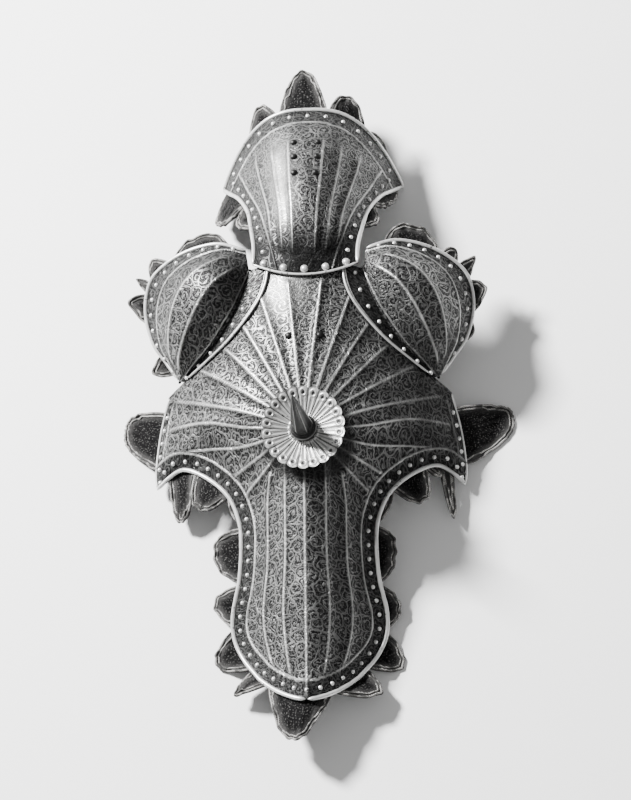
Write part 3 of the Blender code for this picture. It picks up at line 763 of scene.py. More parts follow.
def etched_steel():
    """Blackened plate with etched scrolls and dots, bright where flutes, ridges and edges are rubbed and where
    highlights are painted, darker where it is sooty and where shade is painted.
    """
    made, tree, shader = new_material("etched_steel")
    place = surface_place(tree)
    raised = scrollwork(tree, place)
    dot = cells(tree, place, DOT_CELL, randomness=0.9).outputs["Distance"]
    dots = soft_step(tree, dot, 0.42, 0.22)
    wear_and_painted_highlight = attribute(tree, "wear_and_painted_highlight")
    soot_and_painted_shade = attribute(tree, "soot_and_painted_shade")
    patchy = noise(tree, place, 0.020, 4.0, 0.6)
    fine = noise(tree, place, 0.0012, 3.0, 0.6)
    wear = number(tree, "ADD", blend_numbers(tree, patchy, 0.15, 1.65), number(tree, "MULTIPLY", fine, 0.25))
    pattern = number(tree, "MULTIPLY", raised, blend_numbers(tree, patchy, 0.35, 1.25))
    colour = mix_colours(tree, dots, DARK_GROUND, DOT_STEEL)
    colour = mix_colours(tree, pattern, colour, WORN_STEEL)
    # bright where the steel is rubbed and where highlights are painted
    uneven = number(tree, "MULTIPLY", wear_and_painted_highlight, blend_numbers(tree, noise(tree, place, 0.007), 0.62, 1.25))
    colour = mix_colours(tree, uneven, colour, BRIGHT_STEEL)
    # darker where the plate is sooty and where shade is painted
    tone = number(tree, "MULTIPLY", wear, number(tree, "SUBTRACT", 1.0, number(tree, "MULTIPLY", soot_and_painted_shade, 0.93)))
    grey = tree.nodes.new("ShaderNodeCombineColor")
    for target in grey.inputs:
        feed(tree, target, tone)
    feed(tree, shader.inputs["Base Color"], mix_colours(tree, 1.0, colour, grey.outputs[0], "MULTIPLY"))
    smoothness = number(tree, "MAXIMUM", number(tree, "MULTIPLY", pattern, 0.7), wear_and_painted_highlight)
    scratch = noise(tree, place, 0.004, 2.0, 0.6, (6.0, 0.5, 1.0))
    rough = number(tree, "ADD", blend_numbers(tree, smoothness, 0.50, 0.25), number(tree, "MULTIPLY", scratch, 0.10))
    feed(tree, shader.inputs["Roughness"], rough)
    shader.inputs["Metallic"].default_value = 0.82
    height = number(tree, "MAXIMUM", pattern, number(tree, "MULTIPLY", dots, 0.55))
    feed(tree, shader.inputs["Normal"], bump(tree, height, 0.00035, 0.9,
                                             bump(tree, fine, 0.00012, 0.6)))
    return made


def burnished_steel():
    """Rims, rosette and rivet heads: bright, finely scratched, with shade painted darker in the rosette's hollows.
    """
    made, tree, shader = new_material("burnished_steel")
    place = object_place(tree)
    cloud = noise(tree, place, 0.013, 4.0, 0.6)
    grain = noise(tree, place, 0.0009, 3.0, 0.6)
    spots = noise(tree, place, 0.0035, 2.0, 0.5)
    pitted = soft_step(tree, spots, 0.36, 0.28)
    colour = mix_colours(tree, cloud, (0.42, 0.42, 0.412), (0.74, 0.74, 0.73))
    colour = mix_colours(tree, pitted, colour, (0.10, 0.10, 0.10))
    # painted shade in the rosette's hollows
    colour = mix_colours(tree, attribute(tree, "soot_and_painted_shade"), colour, (0.045, 0.045, 0.046))
    feed(tree, shader.inputs["Base Color"], colour)
    feed(tree, shader.inputs["Roughness"], blend_numbers(tree, grain, 0.26, 0.50))
    shader.inputs["Metallic"].default_value = 0.6
    feed(tree, shader.inputs["Normal"], bump(tree, grain, 0.00012, 0.5))
    return made


def black_steel():
    """The spike: nearly black, with worn arrises."""
    made, tree, shader = new_material("black_steel")
    place = object_place(tree)
    cloud = noise(tree, place, 0.009, 4.0, 0.6)
    grain = noise(tree, place, 0.0010, 3.0, 0.6)
    colour = mix_colours(tree, cloud, (0.008, 0.008, 0.0085), (0.035, 0.035, 0.034))
    colour = mix_colours(tree, attribute(tree, "wear_and_painted_highlight"), colour, (0.42, 0.42, 0.415))
    feed(tree, shader.inputs["Base Color"], colour)
    feed(tree, shader.inputs["Roughness"], blend_numbers(tree, grain, 0.32, 0.58))
    shader.inputs["Metallic"].default_value = 0.85
    feed(tree, shader.inputs["Normal"], bump(tree, grain, 0.00015, 0.5))
    return made


def velvet():
    """The lining's dark pile, flattened in patches, with a weave that shows through."""
    made, tree, shader = new_material("lining_velvet")
    place = surface_place(tree)
    nap = noise(tree, place, 0.006, 4.0, 0.65)
    pile = noise(tree, place, 0.0007, 2.0, 0.7)
    weave = tree.nodes.new("ShaderNodeTexWave")
    feed(tree, weave.inputs["Vector"], place)
    weave.inputs["Scale"].default_value = 260.0
    weave.inputs["Distortion"].default_value = 1.5
    colour = mix_colours(tree, nap, (0.0008, 0.0008, 0.0009), (0.008, 0.0078, 0.008))
    flecks = number(tree, "MULTIPLY", soft_step(tree, noise(tree, place, 0.0017), 0.54, 0.68), nap)
    colour = mix_colours(tree, flecks, colour, (0.12, 0.118, 0.114))
    colour = mix_colours(tree, attribute(tree, "wear_and_painted_highlight"), colour, (0.055, 0.054, 0.053))
    feed(tree, shader.inputs["Base Color"], colour)
    feed(tree, shader.inputs["Roughness"], blend_numbers(tree, pile, 0.72, 0.98))
    shader.inputs["Sheen Weight"].default_value = 0.02
    shader.inputs["Specular IOR Level"].default_value = 0.05
    shader.inputs["Sheen Roughness"].default_value = 0.35
    height = number(tree, "ADD", pile, number(tree, "MULTIPLY", weave.outputs["Fac"], 0.5))
    feed(tree, shader.inputs["Normal"], bump(tree, height, 0.0004, 0.8, bump(tree, nap, 0.0012, 0.6)))
    return made


def braid():
    """Dull silver thread, twisted and tarnished."""
    made, tree, shader = new_material("edging_braid")
    place = object_place(tree)
    twist = tree.nodes.new("ShaderNodeTexWave")
    twist.bands_direction = "DIAGONAL"
    feed(tree, twist.inputs["Vector"], place)
    twist.inputs["Scale"].default_value = 330.0
    twist.inputs["Distortion"].default_value = 2.0
    tarnish_and_painted_shade = noise(tree, place, 0.010, 4.0, 0.6)
    colour = mix_colours(tree, twist.outputs["Fac"], (0.09, 0.088, 0.085), (0.42, 0.41, 0.395))
    colour = mix_colours(tree, soft_step(tree, tarnish_and_painted_shade, 0.56, 0.42), colour, (0.045, 0.044, 0.042))
    feed(tree, shader.inputs["Base Color"], colour)
    shader.inputs["Roughness"].default_value = 0.62
    shader.inputs["Metallic"].default_value = 0.25
    feed(tree, shader.inputs["Normal"], bump(tree, twist.outputs["Fac"], 0.0004, 0.9))
    return made


def floor_finish():
    made, tree, shader = new_material("floor_paper")
    place = object_place(tree)
    tone = noise(tree, place, 0.35, 3.0, 0.5)
    feed(tree, shader.inputs["Base Color"], mix_colours(tree, tone, (0.93, 0.93, 0.925), (0.97, 0.97, 0.965)))
    shader.inputs["Roughness"].default_value = 0.9
    return made


STEEL = etched_steel()
BRIGHT = burnished_steel()
BLACK = black_steel()
VELVET = velvet()
BRAID = braid()


def plate_grid(sheet, size):
    """Rows, shares and outer points of a plate, evenly spaced over its rows and its whole width."""
    rows, shares = np.meshgrid(np.linspace(0, sheet.last, size[0]), np.linspace(-1, 1, 2 * size[1] + 1),
                               indexing="ij")
    return rows, shares, sheet.point(rows, shares)


def path_on(sheet, rows, shares, count=36):
    """A line on a plate through a few rows and shares."""
    place = np.linspace(0, len(rows) - 1, count)
    return sheet.point(smooth(rows, place), smooth(shares, place))


def draped_path(ground, corners, count=26):
    """A smooth line over a plate through a few points of its plan."""
    place = np.linspace(0, len(corners) - 1, count)
    plan = np.stack([smooth([corner[axis] for corner in corners], place) for axis in (0, 1)], axis=-1)
    return ground.dropped(plan)


def flute_field(points, paths, ends=(0.05, 0.08)):
    """Rubbed share and height of narrow flutes with a soft swell, and the blackened lines beside them."""
    away, along = path_distance(points, paths)
    fade = ease(0, ends[0], along) * ease(0, ends[1], 1 - along)
    line = ridge_of(away, FLUTE_WIDTH) * fade
    beside = ridge_of(away - FLUTE_BORDER, FLUTE_BORDER * 0.45) * fade
    return line, FLUTE_HEIGHT * line + FLUTE_SWELL * ridge_of(away, FLUTE_SPREAD) * fade, beside


def cord_line(away, width):
    """A raised half-round line at zero distance."""
    return np.sqrt(np.clip(1 - (away / width) ** 2, 0, 1))


def dress_plate(name, points, height, wear_and_painted_highlight, soot_and_painted_shade, side=1):
    """The plate itself, with its relief, its wear and painted highlights, its soot and painted shade, in place of
    the CAD node of that name.
    """
    raised = points + grid_normals(points) * height[..., None]
    fields = {"wear_and_painted_highlight": wear_and_painted_highlight, "soot_and_painted_shade": soot_and_painted_shade}
    inner = raised - grid_normals(raised) * PLATE
    mesh = shell_mesh(name + "_etched", raised, inner, fields, surface_map(points), INNER_STEP)
    piece = place_piece(name + "_etched", mesh, STEEL, side)
    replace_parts(piece, name)
    return piece, Ground(raised)


RONDEL_Y = NECK_Y - RONDEL_SHARE * MAIN_LENGTH
FAN_ANGLES = (6, 17, 28, 40, 53, 67)
LOW_ANGLES = (111, 128)
FAN_START = 0.026
FAN_REACH = 0.175
LOW_REACH = 0.105
# Half the wing lines, from the rosette outwards, from the ridge and above the rosette's middle
WING_LINES = (
    ((0.027, 0.004), (0.060, 0.012), (0.100, 0.024), (0.141, 0.029)),
    ((0.029, -0.004), (0.062, -0.004), (0.100, 0.002), (0.143, 0.004)),
)
NOSE_SHARES = (0.28, 0.55)


def fan_paths(ground):
    paths = []
    for side in (-1, 1):
        for angle in FAN_ANGLES:
            way = np.array((side * sin(radians(angle)), cos(radians(angle))))
            paths.append(draped_path(ground, [(way * reach) + (0, RONDEL_Y)
                                              for reach in (FAN_START, 0.08, FAN_REACH)]))
        for angle in LOW_ANGLES:
            way = np.array((side * sin(radians(angle)), cos(radians(angle))))
            paths.append(draped_path(ground, [(way * reach) + (0, RONDEL_Y)
                                              for reach in (FAN_START, 0.07, LOW_REACH)]))
        for line in WING_LINES:
            paths.append(draped_path(ground, [(side * out, RONDEL_Y + up) for out, up in line]))
        for share in NOSE_SHARES:
            paths.append(path_on(MAIN, (11.3 + 1.6 * share, 13.4, 15.0, 17.0, 18.6),
                                 [side * share * part for part in (0.80, 1.0, 1.0, 1.0, 0.9)]))
    return paths


def make_main_plate():
    rows, shares, points = plate_grid(MAIN, MAIN_GRID)
    bare = Ground(points)
    out = np.abs(shares)
    rim = MAIN.point(*outline_spot(MAIN, np.linspace(8.0, 32.0, 330)))
    from_rim, _ = path_distance(points, [rim])
    wings = [MAIN.point(*outline_spot(MAIN, np.linspace(first, last, 40))) for first, last in ((5, 8), (35, 32))]
    from_wing, along_wing = path_distance(points, wings)
    # nothing stands up under the poll plate and the ear guards' flanges
    poll_edge = NECK_Y - POLL_LAP + 0.016 * (points[..., 0] / (POLL_NECK_WIDTH / 2)) ** 2
    clear = 1 - ease(poll_edge - 0.010, poll_edge - 0.003, points[..., 1])
    inner = np.interp(rows, [each[0] for each in EAR_FLANGE], [each[1] for each in EAR_FLANGE])
    under = np.where(rows < 4.6, ease(inner - 0.055, inner - 0.012, out), 0.0)
    clear *= 1 - under
    band = 1 - ease(BAND_WIDTH - 0.0012, BAND_WIDTH, from_rim)
    wing_band = (1 - ease(0.0088, 0.0100, from_wing)) * ease(0.02, 0.10, along_wing)
    open_field = clear * ease(BAND_WIDTH + 0.0008, BAND_WIDTH + 0.005, from_rim) * ease(0.011, 0.015, from_wing)
    line, height, beside = (each * open_field for each in flute_field(points, fan_paths(bare)))
    band_line = cord_line(from_rim - BAND_WIDTH, 0.0011) * clear
    wing_line = cord_line(from_wing - 0.0100, 0.0009) * clear * ease(0.02, 0.10, along_wing)
    wing_line *= ease(BAND_WIDTH, BAND_WIDTH + 0.002, from_rim)
    # the ridge of the nose is sharp and rubbed
    crest = ridge_of(points[..., 0], 0.0010) * ease(11.2, 12.4, rows) * ease(0.001, 0.004, from_rim)
    height = height - BAND_SINK * np.maximum(band, wing_band) * clear
    height = np.maximum(height, 0.0009 * np.maximum(band_line, wing_line)) + 0.0006 * crest
    wear_and_painted_highlight = np.maximum.reduce((0.85 * line, 0.8 * band_line, 0.7 * wing_line, 0.75 * crest))
    soot_and_painted_shade = np.maximum(0.70 * np.maximum(band, 0.8 * wing_band) * (1 - band_line), 0.55 * beside)
    # painted shade: the right wing and the right of the nose are darker, as on the sides turned from the light
    nose = ease(11.0, 12.6, rows)
    tarnish_and_painted_shade = 0.72 * ease(0.050, 0.115, points[..., 0]) * (1 - nose) + 0.45 * ease(0.0, 0.016, points[..., 0]) * nose
    # a painted shadow of the rosette on the plate round its seat, offset to the lower right
    from_seat = np.hypot(points[..., 0] - 0.004, points[..., 1] - RONDEL_Y + 0.005)
    soot_and_painted_shade = np.maximum.reduce((soot_and_painted_shade, tarnish_and_painted_shade, 0.97 * (1 - ease(0.037, 0.050, from_seat))))
    # and a painted highlight on the steel below the poll plate's left end
    painted_highlight = ridge_of(np.hypot(points[..., 0] + 0.024, (points[..., 1] - NECK_Y + 0.030) * 0.8), 0.017)
    wear_and_painted_highlight = np.maximum(wear_and_painted_highlight, 0.42 * painted_highlight * (1 - band))
    return dress_plate("main_plate", points, height, wear_and_painted_highlight, soot_and_painted_shade)


POLL_FLUTES = (0.2, 0.4, 0.6)
# Row and share of the poll plate along the inner line of its side bands
POLL_SIDE_LINE = ((0.0, 0.52), (1.0, 0.62), (2.0, 0.70), (3.0, 0.77), (4.0, 0.82), (5.0, 0.84), (5.45, 0.85))
POLL_BAND = 0.0235


def make_poll_plate():
    rows, shares, points = plate_grid(POLL, POLL_GRID)
    top = POLL.point(*outline_spot(POLL, np.linspace(6.0, 8.0, 160)))
    from_top, _ = path_distance(points, [top])
    sides = [path_on(POLL, [row for row, _ in POLL_SIDE_LINE], [side * share for _, share in POLL_SIDE_LINE])
             for side in (-1, 1)]
    from_side_line, _ = path_distance(points, sides)
    outside = np.abs(shares) - np.interp(rows, [row for row, _ in POLL_SIDE_LINE],
                                         [share for _, share in POLL_SIDE_LINE])
    top_band = 1 - ease(POLL_BAND - 0.0012, POLL_BAND, from_top)
    side_band = ease(-0.012, 0.012, outside)
    band = np.maximum(top_band, side_band)
    flutes = [path_on(POLL, (0.9, 3.0, 5.2), (side * share, side * share, side * share * 1.05))
              for side in (-1, 1) for share in POLL_FLUTES]
    line, height, beside = flute_field(points, flutes, (0.10, 0.10))
    open_field = (1 - band) * ease(0.0015, 0.006, from_side_line) * ease(POLL_BAND, POLL_BAND + 0.006, from_top)
    line, height, beside = line * open_field, height * open_field, beside * open_field
    top_line = cord_line(from_top - POLL_BAND, 0.0011)
    side_line = cord_line(from_side_line, 0.0011) * ease(POLL_BAND - 0.001, POLL_BAND, from_top)
    band_line = np.maximum(top_line, side_line)
    # painted shade: near black towards the joint with the main plate, where the bright lines are dimmed too
    joint = 1 - ease(1.0, 2.9, rows)
    height = np.maximum(height - BAND_SINK * band, 0.0009 * band_line)
    wear_and_painted_highlight = np.maximum(0.85 * line, 0.8 * band_line) * (1 - 0.5 * joint)
    # a painted highlight left of the middle, painted shade right of it
    painted_highlight = ridge_of(shares + 0.34, 0.15) * ease(1.6, 3.2, rows) * (1 - ease(4.2, 5.6, rows)) * (1 - band)
    wear_and_painted_highlight = np.maximum(wear_and_painted_highlight, 0.50 * painted_highlight)
    tarnish_and_painted_shade = 0.40 * ease(0.05, 0.45, shares)
    soot_and_painted_shade = np.maximum.reduce((0.68 * band * (1 - band_line), 0.97 * joint, 0.55 * beside, tarnish_and_painted_shade))
    return dress_plate("poll_plate", points, height, wear_and_painted_highlight, soot_and_painted_shade)


EAR_FLUTES = (0.30, 0.55)
EAR_BAND = 0.80


def make_ear_guard(name, side):
    columns = np.concatenate((np.linspace(-1, 0, EAR_GRID[1])[:-1], np.linspace(0, 1, EAR_GRID[2])))
    rows, across = np.meshgrid(np.linspace(0, 1, EAR_GRID[0]), columns, indexing="ij")
    points = ear_point(rows, across)
    ends = np.linspace(0.10, 0.93, 40)
    flutes = [ear_point(ends, np.full(40, share)) for share in EAR_FLUTES]
    line, height, beside = flute_field(points, flutes, (0.12, 0.12))
    inner_line = [ear_point(np.linspace(0.0, 1.0, 90), np.full(90, EAR_BAND))]
    from_inner, _ = path_distance(points, inner_line)
    flange_line = [ear_point(np.linspace(0, 1, 90), np.full(90, -0.90))]
    from_flange, _ = path_distance(points, flange_line)
    crease_line = [ear_point(np.linspace(0, 1, 90), np.full(90, 0.03))]
    from_crease, _ = path_distance(points, crease_line)
    band = ease(EAR_BAND - 0.01, EAR_BAND + 0.02, across)
    flange = 1 - ease(-0.04, 0.04, across)
    field = (1 - band) * (1 - flange)
    line, height, beside = line * field, height * field, beside * field
    band_line = np.maximum(cord_line(from_inner, 0.0010), cord_line(from_flange, 0.0010))
    crease = cord_line(from_crease, 0.0009)
    height = np.maximum(height, 0.0009 * np.maximum(band_line, crease))
    wear_and_painted_highlight = np.maximum.reduce((0.85 * line, 0.85 * band_line, 0.7 * crease))
    soot_and_painted_shade = np.maximum(0.70 * np.maximum(band, flange) * (1 - band_line), 0.55 * beside)
    # painted shade: the left guard is darkest beside the poll, the right one at its outer end, on the sides turned
    # from the light
    painted_side_shade = 1 - ease(0.25, 0.65, rows) if side < 0 else ease(0.45, 0.85, rows)
    soot_and_painted_shade = np.maximum(soot_and_painted_shade, 0.60 * painted_side_shade * (1 - band_line))
    return dress_plate(name, points, height, wear_and_painted_highlight, soot_and_painted_shade, side)


MAIN_SKIN, MAIN_GROUND = make_main_plate()
POLL_SKIN, POLL_GROUND = make_poll_plate()
LEFT_EAR, _ = make_ear_guard("ear_guard_left", -1)
RIGHT_EAR, EAR_GROUND = make_ear_guard("ear_guard_right", 1)


def rim_path(rim, first, last, radius, count=260):
    """Centres of a turned edge that wraps a plate's rim, kept clear of the floor."""
    edge, out, _, up = rim(np.linspace(first, last, count))
    path = edge - out * 0.0006 + up * (radius - PLATE - 0.0002)
    path[:, 2] = np.maximum(path[:, 2], radius + 0.0002)
    return even_path(path, 0.0022)


def surface_rim(point, radius, step=0.0022):
    """Centres of a turned edge along points of a plate's outer surface."""
    path = np.array(point)
    path[:, 2] += radius * 0.35
    return even_path(path, step)


def mended(path, radius):
    """A tube's radius along its path, tapered at both ends and a little uneven, as hammered."""
    share = np.linspace(0, 1, len(path))
    ends = np.sqrt(np.clip(np.minimum(share, 1 - share) * len(path) / 2.2, 0.05, 1))
    wave = 1 + 0.035 * np.sin(share * len(path) * 0.55) + 0.02 * np.sin(share * len(path) * 1.37)
    return radius * ends * wave


def make_rims():
    nose = [rim_path(main_rim, 8.0, 19.985, RIM_RADIUS), rim_path(main_rim, 20.03, 32.0, RIM_RADIUS)]
    wings = [rim_path(main_rim, first, last, WING_RIM_RADIUS, 80) for first, last in ((5.0, 8.0), (32.0, 35.0))]
    tubes = nose + wings
    parts = [tube_parts(path, mended(path, RIM_RADIUS if index < len(nose) else WING_RIM_RADIUS), 12)
             for index, path in enumerate(tubes)]
    join_rims("main_plate_rims", parts)
    poll = [rim_path(poll_rim, first, last, RIM_RADIUS * 0.95)
            for first, last in ((0.0, 6.0), (6.0, 8.0), (8.0, 14.0))]
    joint = POLL.point(np.zeros(120), np.linspace(-1, 1, 120))
    poll.append(surface_rim(joint, 0.0012))
    join_rims("poll_plate_rims", [tube_parts(path, mended(path, RIM_RADIUS * 0.95 if index < 3 else 0.0012), 12)
                                  for index, path in enumerate(poll)])
    for name, side in (("left", -1), ("right", 1)):
        mouth = rim_path(ear_rim, 0.0, 1.0, RIM_RADIUS * 0.9)
        inner = surface_rim(ear_point(np.linspace(0, 1, 120), np.full(120, -1.0)), 0.0012)
        join_rims("ear_guard_rims_" + name, [tube_parts(mouth, mended(mouth, RIM_RADIUS * 0.9), 12),
                                             tube_parts(inner, mended(inner, 0.0012), 12)], side)


def join_rims(name, parts, side=1):
    points, faces, first = [], [], 0
    for more, shape in parts:
        points.append(more)
        faces += [tuple(first + corner for corner in face) for face in shape]
        first += len(more)
    place_piece(name, mesh_of(name, np.concatenate(points), faces), BRIGHT, side)


def ear_spots(across, first, last, step):
    """Evenly spaced rivet spots on the right ear guard, along a line of constant place across it."""
    path = even_path(ear_point(np.linspace(first, last, 200), np.full(200, across)), step)
    return [EAR_GROUND.nearest(point) for point in path]


def make_band_rivets():
    head = head_parts(BAND_RIVET_WIDTH, 0.0019)
    inset = BAND_WIDTH * 0.52
    spots = spaced_rivets(main_rim, 8.9, 31.1, inset, BAND_RIVET_STEP, MAIN_GROUND)
    for first, last in ((5.5, 7.6), (32.4, 34.5)):
        spots += spaced_rivets(main_rim, first, last, 0.0055, BAND_RIVET_STEP, MAIN_GROUND)
    place_piece("main_plate_rivets", scattered_mesh("main_plate_rivets", head, spots), BRIGHT)
    spots = spaced_rivets(poll_rim, 6.12, 7.88, POLL_BAND * 0.5, BAND_RIVET_STEP * 1.3, POLL_GROUND)
    for side in (-1, 1):
        rows = np.linspace(0.9, 5.2, 160)
        line = np.interp(rows, [row for row, _ in POLL_SIDE_LINE], [share for _, share in POLL_SIDE_LINE])
        path = even_path(POLL.point(rows, side * (line + 1) / 2), BAND_RIVET_STEP * 1.25)
        spots += [POLL_GROUND.nearest(point) for point in path]
    place_piece("poll_plate_rivets", scattered_mesh("poll_plate_rivets", head, spots), BRIGHT)
    for name, side in (("left", -1), ("right", 1)):
        spots = ear_spots(0.90, 0.06, 0.94, BAND_RIVET_STEP * 1.15)
        spots += ear_spots(-0.45, 0.06, 0.96, BAND_RIVET_STEP * 1.4)
        mesh = scattered_mesh("ear_guard_rivets_" + name, head, spots)
        place_piece("ear_guard_rivets_" + name, mesh, BRIGHT, side)


def make_large_rivets():
    """The rivets that the CAD model has: of the poll joint, in the poll plate's middle and on the brow."""
    head = head_parts(RIVET_WIDTH / 1.18, RIVET_HEIGHT, 24, 7)
    spots = [("joint_rivet_%d" % (index + 1), POLL, POLL_GROUND, 0.28, share, BRIGHT)
             for index, share in enumerate((-0.78, -0.40, 0.0, 0.40, 0.78))]
    for row, place in enumerate((4.1, 4.55, 4.95)):
        for side, share in (("left", -0.15), ("right", 0.15)):
            spots.append(("poll_rivet_%s_%d" % (side, row + 1), POLL, POLL_GROUND, place, share, BLACK))
    for side, share in (("left", -0.15), ("right", 0.15)):
        spots.append(("brow_rivet_" + side, MAIN, MAIN_GROUND, 3.62, share, BLACK))
    for name, sheet, ground, place, share, finish in spots:
        spot, _ = ground.nearest(sheet.point(place, share))
        facing = sheet.normal(place, share)
        mesh = scattered_mesh(name + "_head", head, [(spot - facing * 0.0002, facing)])
        piece = place_piece(name + "_head", mesh, finish)
        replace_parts(piece, name)


def row_of_ridge(sheet, place):
    """Fractional row whose ridge is at a share of the plate's length."""
    low, high = 0.0, float(sheet.last)
    for _ in range(30):
        middle = (low + high) / 2
        if smooth([row.ridge for row in sheet.rows], middle) < place:
            low = middle
        else:
            high = middle
    return low


def seat_matrix(lift, lean=0.0, tilt=0.0):
    """Stand a turned piece on the brow where the rosette is, leaning towards the poll and to the left."""
    place = row_of_ridge(MAIN, RONDEL_SHARE)
    run = Vector(MAIN.point(place + 0.5, 0)) - Vector(MAIN.point(place - 0.5, 0))
    facing = Vector((1, 0, 0)).cross(-run).normalized()
    turn = facing.to_track_quat("Z", "Y").to_matrix().to_4x4()
    tip = Matrix.Rotation(-tilt, 4, "Y") @ Matrix.Rotation(-lean, 4, "X")
    return Matrix.Translation(Vector(MAIN.point(place, 0)) + facing * lift) @ tip @ turn


def ring_faces(rings, sides, first=0):
    faces = []
    for ring in range(rings - 1):
        for index in range(sides):
            after = (index + 1) % sides
            low, high = first + ring * sides, first + (ring + 1) * sides
            faces.append((low + index, low + after, high + after, high + index))
    return faces


def make_rosette():
    """The dished rosette: long looped petals, each with a round eye near its end."""
    radius, sides, rings = RONDEL_DIAMETER / 2, PETALS * 20, 56
    share, angle = np.meshgrid(np.linspace(0.06, 1, rings), 2 * pi * np.arange(sides) / sides, indexing="ij")
    petal = np.abs(np.sin(PETALS * angle / 2))
    edge = np.clip((share - 0.8) / 0.2, 0, 1)
    out = radius * share - edge * PETAL_DEPTH * (1 - petal ** 0.7)
    # 0 in the middle of a petal, 0.5 where two petals meet
    off = np.abs((PETALS * angle / (2 * pi)) % 1 - 0.5)
    sideways = off * 2 * pi * radius * share / PETALS
    narrow = 0.34 - 0.10 * ease(0.25, 0.9, share)
    fade = ease(0.28, 0.36, share)
    crease = ridge_of(off - 0.5, 0.075) * fade
    loop = ridge_of(off - narrow, 0.075) * fade * (1 - ease(0.74, 0.80, share))
    from_eye = np.hypot(sideways, (share - 0.86) * radius)
    ring = ridge_of(from_eye - 0.0029, 0.0008)
    hole = 1 - ease(0.0012, 0.0022, from_eye)
    inside = ridge_of(off, 0.10) * fade * (1 - ease(0.70, 0.80, share))
    collar = ridge_of((share - 0.34) * radius, 0.0010)
    relief = 0.0009 * loop + 0.0011 * ring + 0.0010 * collar - 0.0010 * crease - 0.0008 * hole
    high = RONDEL_DISH * share ** 2 + relief - 0.0002
    # painted shade in the creases between petals, in the eyes, inside the loops and round the middle under the
    # spike's foot
    soot_and_painted_shade = np.clip(np.maximum.reduce((0.95 * crease, 0.95 * hole, 0.5 * inside, 0.8 * (1 - fade))), 0, 1)
    top = np.stack((out * np.cos(angle), out * np.sin(angle), high), axis=-1)
    under = top.copy()
    under[..., 2] = RONDEL_DISH * share ** 2 - RONDEL_SHEET
    points = np.concatenate((top.reshape(-1, 3), under.reshape(-1, 3), ((0, 0, 0), (0, 0, -RONDEL_SHEET))))
    size = rings * sides
    faces = ring_faces(rings, sides) + [face[::-1] for face in ring_faces(rings, sides, size)]
    last = (rings - 1) * sides
    for index in range(sides):
        after = (index + 1) % sides
        faces.append((last + index, last + after, size + last + after, size + last + index)[::-1])
        faces.append((2 * size, index, after))
        faces.append((2 * size + 1, size + after, size + index))
    fields = {"soot_and_painted_shade": np.concatenate((soot_and_painted_shade.ravel(), np.zeros(size), (0.8, 0.0)))}
    mesh = mesh_of("rosette", points, faces, fields)
    mesh.transform(seat_matrix(RONDEL_SHEET + SEAT_GAP))
    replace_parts(place_piece("rosette", mesh, BRIGHT), "rondel")


def make_spike():
    """The tapering spike: six sharp arrises with hollow flutes between, on a turned foot."""
    foot, root, step = SPIKE_FOOT_WIDTH / 2, SPIKE_WIDTH / 2, SPIKE_FOOT_HEIGHT
    profile = (
        (foot * 0.97, 0.0, 0), (foot, step * 0.10, 0), (foot, step * 0.30, 0), (foot * 0.93, step * 0.40, 0),
        (foot * 0.84, step * 0.48, 0), (foot * 0.84, step * 0.66, 0), (foot * 0.74, step * 0.76, 0),
        (root * 0.90, step * 0.90, 0.2), (root * 0.92, step * 1.0, 0.5), (root * 0.98, step * 1.3, 0.9),
        (root, step * 1.6, 1.0), (root * 0.62, SPIKE_LENGTH * 0.55, 1.0), (root * 0.25, SPIKE_LENGTH * 0.88, 0.6),
        (root * 0.05, SPIKE_LENGTH * 0.985, 0.2), (0.0, SPIKE_LENGTH, 0),
    )
    place = np.linspace(0, len(profile) - 1, 14 * (len(profile) - 1) + 1)
    index = np.arange(len(profile))
    width, high, fluted = (np.interp(place, index, [each[column] for each in profile]) for column in range(3))
    sides = SPIKE_FLUTES * 16
    angle = 2 * pi * np.arange(sides) / sides
    valley = np.abs(np.sin(SPIKE_FLUTES * angle / 2))
    out = width[:, None] * (1 - 0.24 * fluted[:, None] * valley[None, :])
    points = np.stack((out * np.cos(angle), out * np.sin(angle), np.broadcast_to(high[:, None], out.shape)), -1)
    arris = ridge_of(valley, 0.10)[None, :] * np.clip(fluted[:, None], 0, 1)
    turned = ridge_of(place - 2, 0.5)[:, None] * np.ones((1, sides))
    wear_and_painted_highlight = np.clip(0.75 * arris + 0.6 * turned, 0, 1)
    faces = ring_faces(len(place), sides) + [tuple(reversed(range(sides)))]
    mesh = mesh_of("brow_spike", points.reshape(-1, 3), faces, {"wear_and_painted_highlight": wear_and_painted_highlight.ravel()})
    dish = RONDEL_DISH * (foot / (RONDEL_DIAMETER / 2)) ** 2
    lift = RONDEL_SHEET + SEAT_GAP * 2 + dish + foot * sin(SPIKE_LEAN + SPIKE_TILT)
    mesh.transform(seat_matrix(lift, SPIKE_LEAN, SPIKE_TILT))
    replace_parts(place_piece("brow_spike", mesh, BLACK), "spike")


def level(ways):
    return unit(ways * (1.0, 1.0, 0.0))


def tab_at(tabs, share):
    """The tab that a place along a strip lies in, if any."""
    return next((tab for tab in tabs if tab.start <= share <= tab.end), None)


def tab_reach(tab, share):
    if tab is None:
        return 0.0
    span = tab.tip - tab.start if share < tab.tip else tab.end - tab.tip
    return TAB_REACH * tab.reach * (1 - (abs(share - tab.tip) / span) ** tab.round)


def strip_shares(strip, step=0.0016):
    """Shares along a strip about a step apart, with every tab's start, tip and end among them."""
    edge = RIMS[strip.rim](np.linspace(strip.first, strip.last, 200))[0]
    length = np.linalg.norm(np.diff(edge, axis=0), axis=-1).sum()
    shares = set(np.linspace(0, 1, int(length / step) + 1).tolist())
    for tab in strip.tabs:
        shares.update((tab.start, tab.tip, tab.end))
    ordered = sorted(shares)
    return [share for share, after in zip(ordered, ordered[1:] + [2.0]) if after - share > 0.0015]


